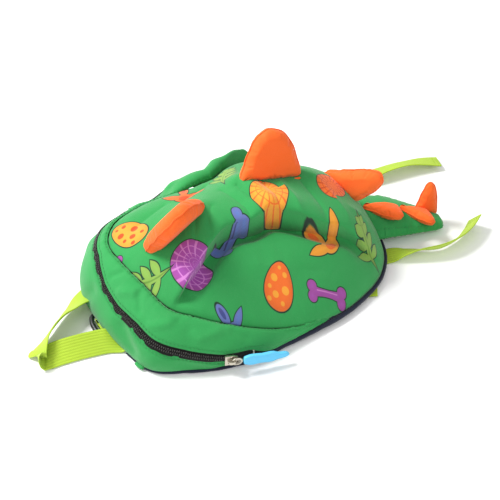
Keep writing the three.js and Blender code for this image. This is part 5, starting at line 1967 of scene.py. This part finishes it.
@dataclass
class Webbing:
    """A ribbed strip of webbing along a line."""

    name: str
    node: str
    rows: Sequence[WebRow]
    width: float
    thick: float = 1.5
    steps: int = 150
    ribs: int = 8
    box_ends: tuple[bool, bool] = (False, False)

    def frame_at(self, u: Array) -> tuple[Points, Points, Points]:
        """Middle, direction across and direction out of the strip."""
        middle, over = Line3([r.at for r in self.rows]), Line3([r.across for r in self.rows])
        along = middle.tangent(u)
        side = unit(over.at(u))
        side = unit(side - along * (side * along).sum(axis=1, keepdims=True))
        point = middle.at(u)
        if min(r.at[2] for r in self.rows) > 0:
            point[:, 2] = np.maximum(point[:, 2], np.abs(side[:, 2]) * self.width / 2 + self.thick / 2 + 0.05)
        return point, side, unit(np.cross(along, side))

    def mesh(self) -> Mesh:
        """The strip as a closed skin with ribs on both faces."""
        def place(u: Array, v: Array) -> Points:
            """Skin at a share of the length and of the way round the section."""
            point, side, out = self.frame_at(u)
            top = v < 0.5
            across = np.where(top, v * 2, 2 - v * 2)
            edge = np.sqrt(np.clip(1 - (2 * np.abs(across - 0.5)) ** 14, 0.0, 1.0))
            rib = 0.26 * np.abs(np.sin(math.pi * self.ribs * across)) ** 0.7
            half = (self.thick / 2 - 0.2 + rib) * mix(0.25, 1.0, edge) * np.where(top, 1.0, -1.0)
            return point + side * ((across - 0.5) * self.width)[:, None] + out * half[:, None]

        def uv(u: Array, v: Array) -> Points:
            """Cloth millimetres along and across the strip."""
            length = np.linalg.norm(np.diff(self.frame_at(np.linspace(0, 1, 60))[0], axis=0), axis=1).sum()
            return np.stack([(u - 0.5) * length, np.where(v < 0.5, v, 1 - v) * 2 * self.width], axis=1)

        return outward(grid_mesh(self.name, self.steps, 12 * self.ribs, place, uv, weld=True), fill=True)

    def end_stitches(self, at_start: bool) -> None:
        """Two rows of stitches across one end."""
        point, side, out = self.frame_at(np.array([0.0, 0.02, 0.05]) if at_start else np.array([
            1.0, 0.98, 0.95]))
        share = np.linspace(-0.42, 0.42, 24)[:, None]
        for k in (1, 2):
            for face in (1.0, -1.0):
                path = point[k] + side[k] * share * self.width + out[k] * face * self.thick / 2
                mesh = Sewing(pitch=2.8, stitch=2.0, thread=0.3).row(
                    f"{self.name}_stitches_{k}{'a' if face > 0 else 'b'}", path, np.tile(
                        out[k] * face, (24, 1)))
                dress(new_piece(mesh.name, mesh), Dressing.LIME_THREAD)

    def build(self) -> None:
        """Makes and dresses the strip."""
        dress(new_piece(self.name, self.mesh()), Dressing.LIME, self.node)
        for wanted, at_start in zip(self.box_ends, (True, False)):
            if wanted:
                self.end_stitches(at_start)


def web_rows(*rows: tuple[tuple[float, float, float], tuple[float, float, float]]) -> list[WebRow]:
    """Rows of a webbing's table."""
    return [WebRow(at, across) for at, across in rows]


@dataclass
class Straps:
    """Haul loop, leash tab, strap ends and anchor tabs."""

    haul_width: float = 22.0
    strap_width: float = 18.0
    tab_width: float = 16.0
    tab: tuple[float, float, float] = (-162.14, -28.7, 6.0)

    def strips(self) -> list[Webbing]:
        """Every strip of webbing."""
        haul = web_rows(
            ((-150, 9, 10), (0, -0.98, 0.10)), ((-164, 4, 10), (-0.04, -0.94, 0.33)),
            ((-176, -3, 10.5), (-0.14, -0.80, 0.58)), ((-188, -10, 11.5), (-0.25, -0.68, 0.69)),
            ((-199, -18, 12), (-0.25, -0.66, 0.71)), ((-209, -26, 11), (-0.12, -0.72, 0.68)),
            ((-217, -33.5, 8.0), (0.14, -0.88, 0.44)), ((-221, -38, 4.4), (0.36, -0.92, 0.00)),
            ((-215, -40.5, 1.6), (0.38, -0.86, -0.30)), ((-199, -42.5, 1.0), (0.36, -0.80, -0.46)),
            ((-180, -45, 1.6), (0.36, -0.80, -0.48)), ((-163, -48, 2.0), (0.36, -0.82, -0.44)),
            ((-148, -52, 2.4), (0.40, -0.92, 0.0)))
        far = web_rows(
            ((24, 30, 1), (0, 1, 0)), ((80, 32, 1), (0, 1, 0)), ((118, 34, 1), (0, 1, 0)),
            ((142, 34, 4), (0.05, 0.99, -0.1)), ((164, 33, 8), (0.08, 0.90, -0.42)),
            ((186, 31, 8.5), (0.10, 0.88, -0.46)), ((207, 27, 6.5), (0.26, 0.92, -0.30)),
            ((223, 22, 4.0), (0.46, 0.87, -0.2)))
        near = web_rows(
            ((24, -62, 1), (0, 1, 0)), ((76, -63, 1), (0, 1, 0)), ((110, -66, 1.0), (0, 1, 0)),
            ((125, -72, 4.6), (0.12, 0.84, -0.48)), ((137, -78, 8), (0.26, 0.62, -0.72)),
            ((156, -84, 9.3), (0.16, 0.52, -0.84)), ((176, -82, 9.2), (0.10, 0.56, -0.82)),
            ((192, -75, 9.0), (-0.10, 0.60, -0.80)), ((205, -66, 8.6), (-0.16, 0.62, -0.76)))
        tab_near = web_rows(((34, -84, 1), (0.3, 0.95, 0)), ((54, -87, 1), (0.34, 0.94, 0)),
                            ((70, -92, 1), (0.50, 0.86, 0)), ((79, -97, 1), (0.58, 0.81, 0)))
        tab_far = web_rows(((34, 52, 1), (-0.3, 0.95, 0)), ((52, 56, 1), (-0.34, 0.94, 0)),
                           ((64, 60, 1), (-0.45, 0.89, 0)))
        x, y, z = self.tab
        stub = web_rows(*(((x + out, y, z), (0.0, 1.0, 0.0)) for out in (5.8, 2.9, 0.0)))
        return [
            Webbing("haul_webbing", "haul_loop", haul, self.haul_width, steps=220, ribs=9),
            Webbing("strap_webbing_far", "strap_end_far", far, self.strap_width, ribs=7,
                    box_ends=(False, True)),
            Webbing("strap_webbing_near", "strap_end_near", near, self.strap_width, ribs=7,
                    box_ends=(False, True)),
            Webbing("anchor_webbing_near", "anchor_tab_near", tab_near, self.strap_width, steps=50, ribs=7),
            Webbing("anchor_webbing_far", "anchor_tab_far", tab_far, self.strap_width, steps=40, ribs=7),
            Webbing("leash_webbing", "leash_tab", stub, self.tab_width, thick=3.0, steps=30, ribs=6),
        ]

    def build(self) -> None:
        """Makes every strip."""
        for strip in self.strips():
            strip.build()


@dataclass
class Hardware:
    """Leash ring, strap buckles and shoulder pads."""

    pad_bevel: float = 2.6
    buckle_bevel: float = 0.7

    def build(self) -> None:
        """Makes and dresses the hard pieces and the pads."""
        dress(dressed_copy("leash_ring", "ring_bow", rounds=2), Dressing.PLASTIC)
        for side in ("near", "far"):
            dress(dressed_copy(f"strap_buckle_{side}", f"buckle_{side}", bevel=self.buckle_bevel),
                  Dressing.PLASTIC)
            pad = dressed_copy(f"shoulder_pad_{side}", f"pad_{side}", bevel=self.pad_bevel)
            dress(pad, Dressing.NAVY)


@dataclass
class Studio:
    """Pale floor, soft light and the photograph's camera."""

    azimuth: float = -27.0
    elevation: float = 45.0
    lens: float = 85.0
    scale: float = 0.93
    frame_px: float = 500.0
    floor_tone: float = 0.93

    def camera(self) -> None:
        """Sets the camera at the photograph's view."""
        data = bpy.data.cameras.new("camera")
        data.lens, data.sensor_width = self.lens, 36.0
        data.clip_start, data.clip_end = 0.05, 20.0
        camera = bpy.data.objects.new("camera", data)
        a, e = math.radians(self.azimuth), math.radians(self.elevation)
        back = Vector((math.sin(a) * math.cos(e), -math.cos(a) * math.cos(e), math.sin(e)))
        reach = self.scale * self.frame_px * MM * self.lens / 36.0
        camera.location = ORIGIN + back * reach
        camera.rotation_mode = "QUATERNION"
        camera.rotation_quaternion = (-back).to_track_quat("-Z", "Y")
        bpy.context.scene.collection.objects.link(camera)
        bpy.context.scene.camera = camera

    def area(self, name: str, at: tuple[float, float, float], size: float, power: float) -> None:
        """One soft light that faces the bag."""
        data = bpy.data.lights.new(name, "AREA")
        data.shape, data.size, data.energy = "DISK", size, power
        lamp = bpy.data.objects.new(name, data)
        lamp.location = at
        lamp.rotation_mode = "QUATERNION"
        lamp.rotation_quaternion = Vector(at).to_track_quat("Z", "Y")
        bpy.context.scene.collection.objects.link(lamp)

    def floor(self) -> None:
        """A wide matt floor."""
        bm = bmesh.new()
        bmesh.ops.create_grid(bm, x_segments=1, y_segments=1, size=4.0)
        bmesh.ops.translate(bm, verts=bm.verts, vec=(0, 0, -0.0004))
        mesh = to_mesh(bm, "floor")
        floor = bpy.data.objects.new("floor", mesh)
        bpy.context.scene.collection.objects.link(floor)
        material = bpy.data.materials.new("pale floor")
        material.use_nodes = True
        shader = material.node_tree.nodes["Principled BSDF"]
        shader.inputs["Base Color"].default_value = (self.floor_tone, self.floor_tone, self.floor_tone, 1)
        shader.inputs["Roughness"].default_value = 0.9
        mesh.materials.append(material)

    def build(self) -> None:
        """Makes the studio."""
        self.floor()
        self.camera()
        self.area("key", (-0.75, 0.75, 1.35), 0.6, 34.0)
        self.area("fill", (0.6, -1.3, 1.1), 1.3, 6.0)
        self.area("side", (-1.4, -0.5, 0.8), 1.0, 5.0)
        world = bpy.data.worlds.new("studio")
        bpy.context.scene.world = world
        world.use_nodes = True
        world.node_tree.nodes["Background"].inputs["Color"].default_value = (1, 1, 1, 1)
        world.node_tree.nodes["Background"].inputs["Strength"].default_value = 0.64
        bpy.context.scene.view_settings.view_transform = "Standard"


def main() -> None:
    """Builds every sub-assembly in order."""
    logging.basicConfig(level=logging.INFO, format="%(message)s")
    for part in (ClothBody(), Zipper(), Plates(), Tail(), Straps(), Hardware(), Studio()):
        part.build()
        LOG.info("built %s", type(part).__name__)


if __name__ == "__main__":
    main()
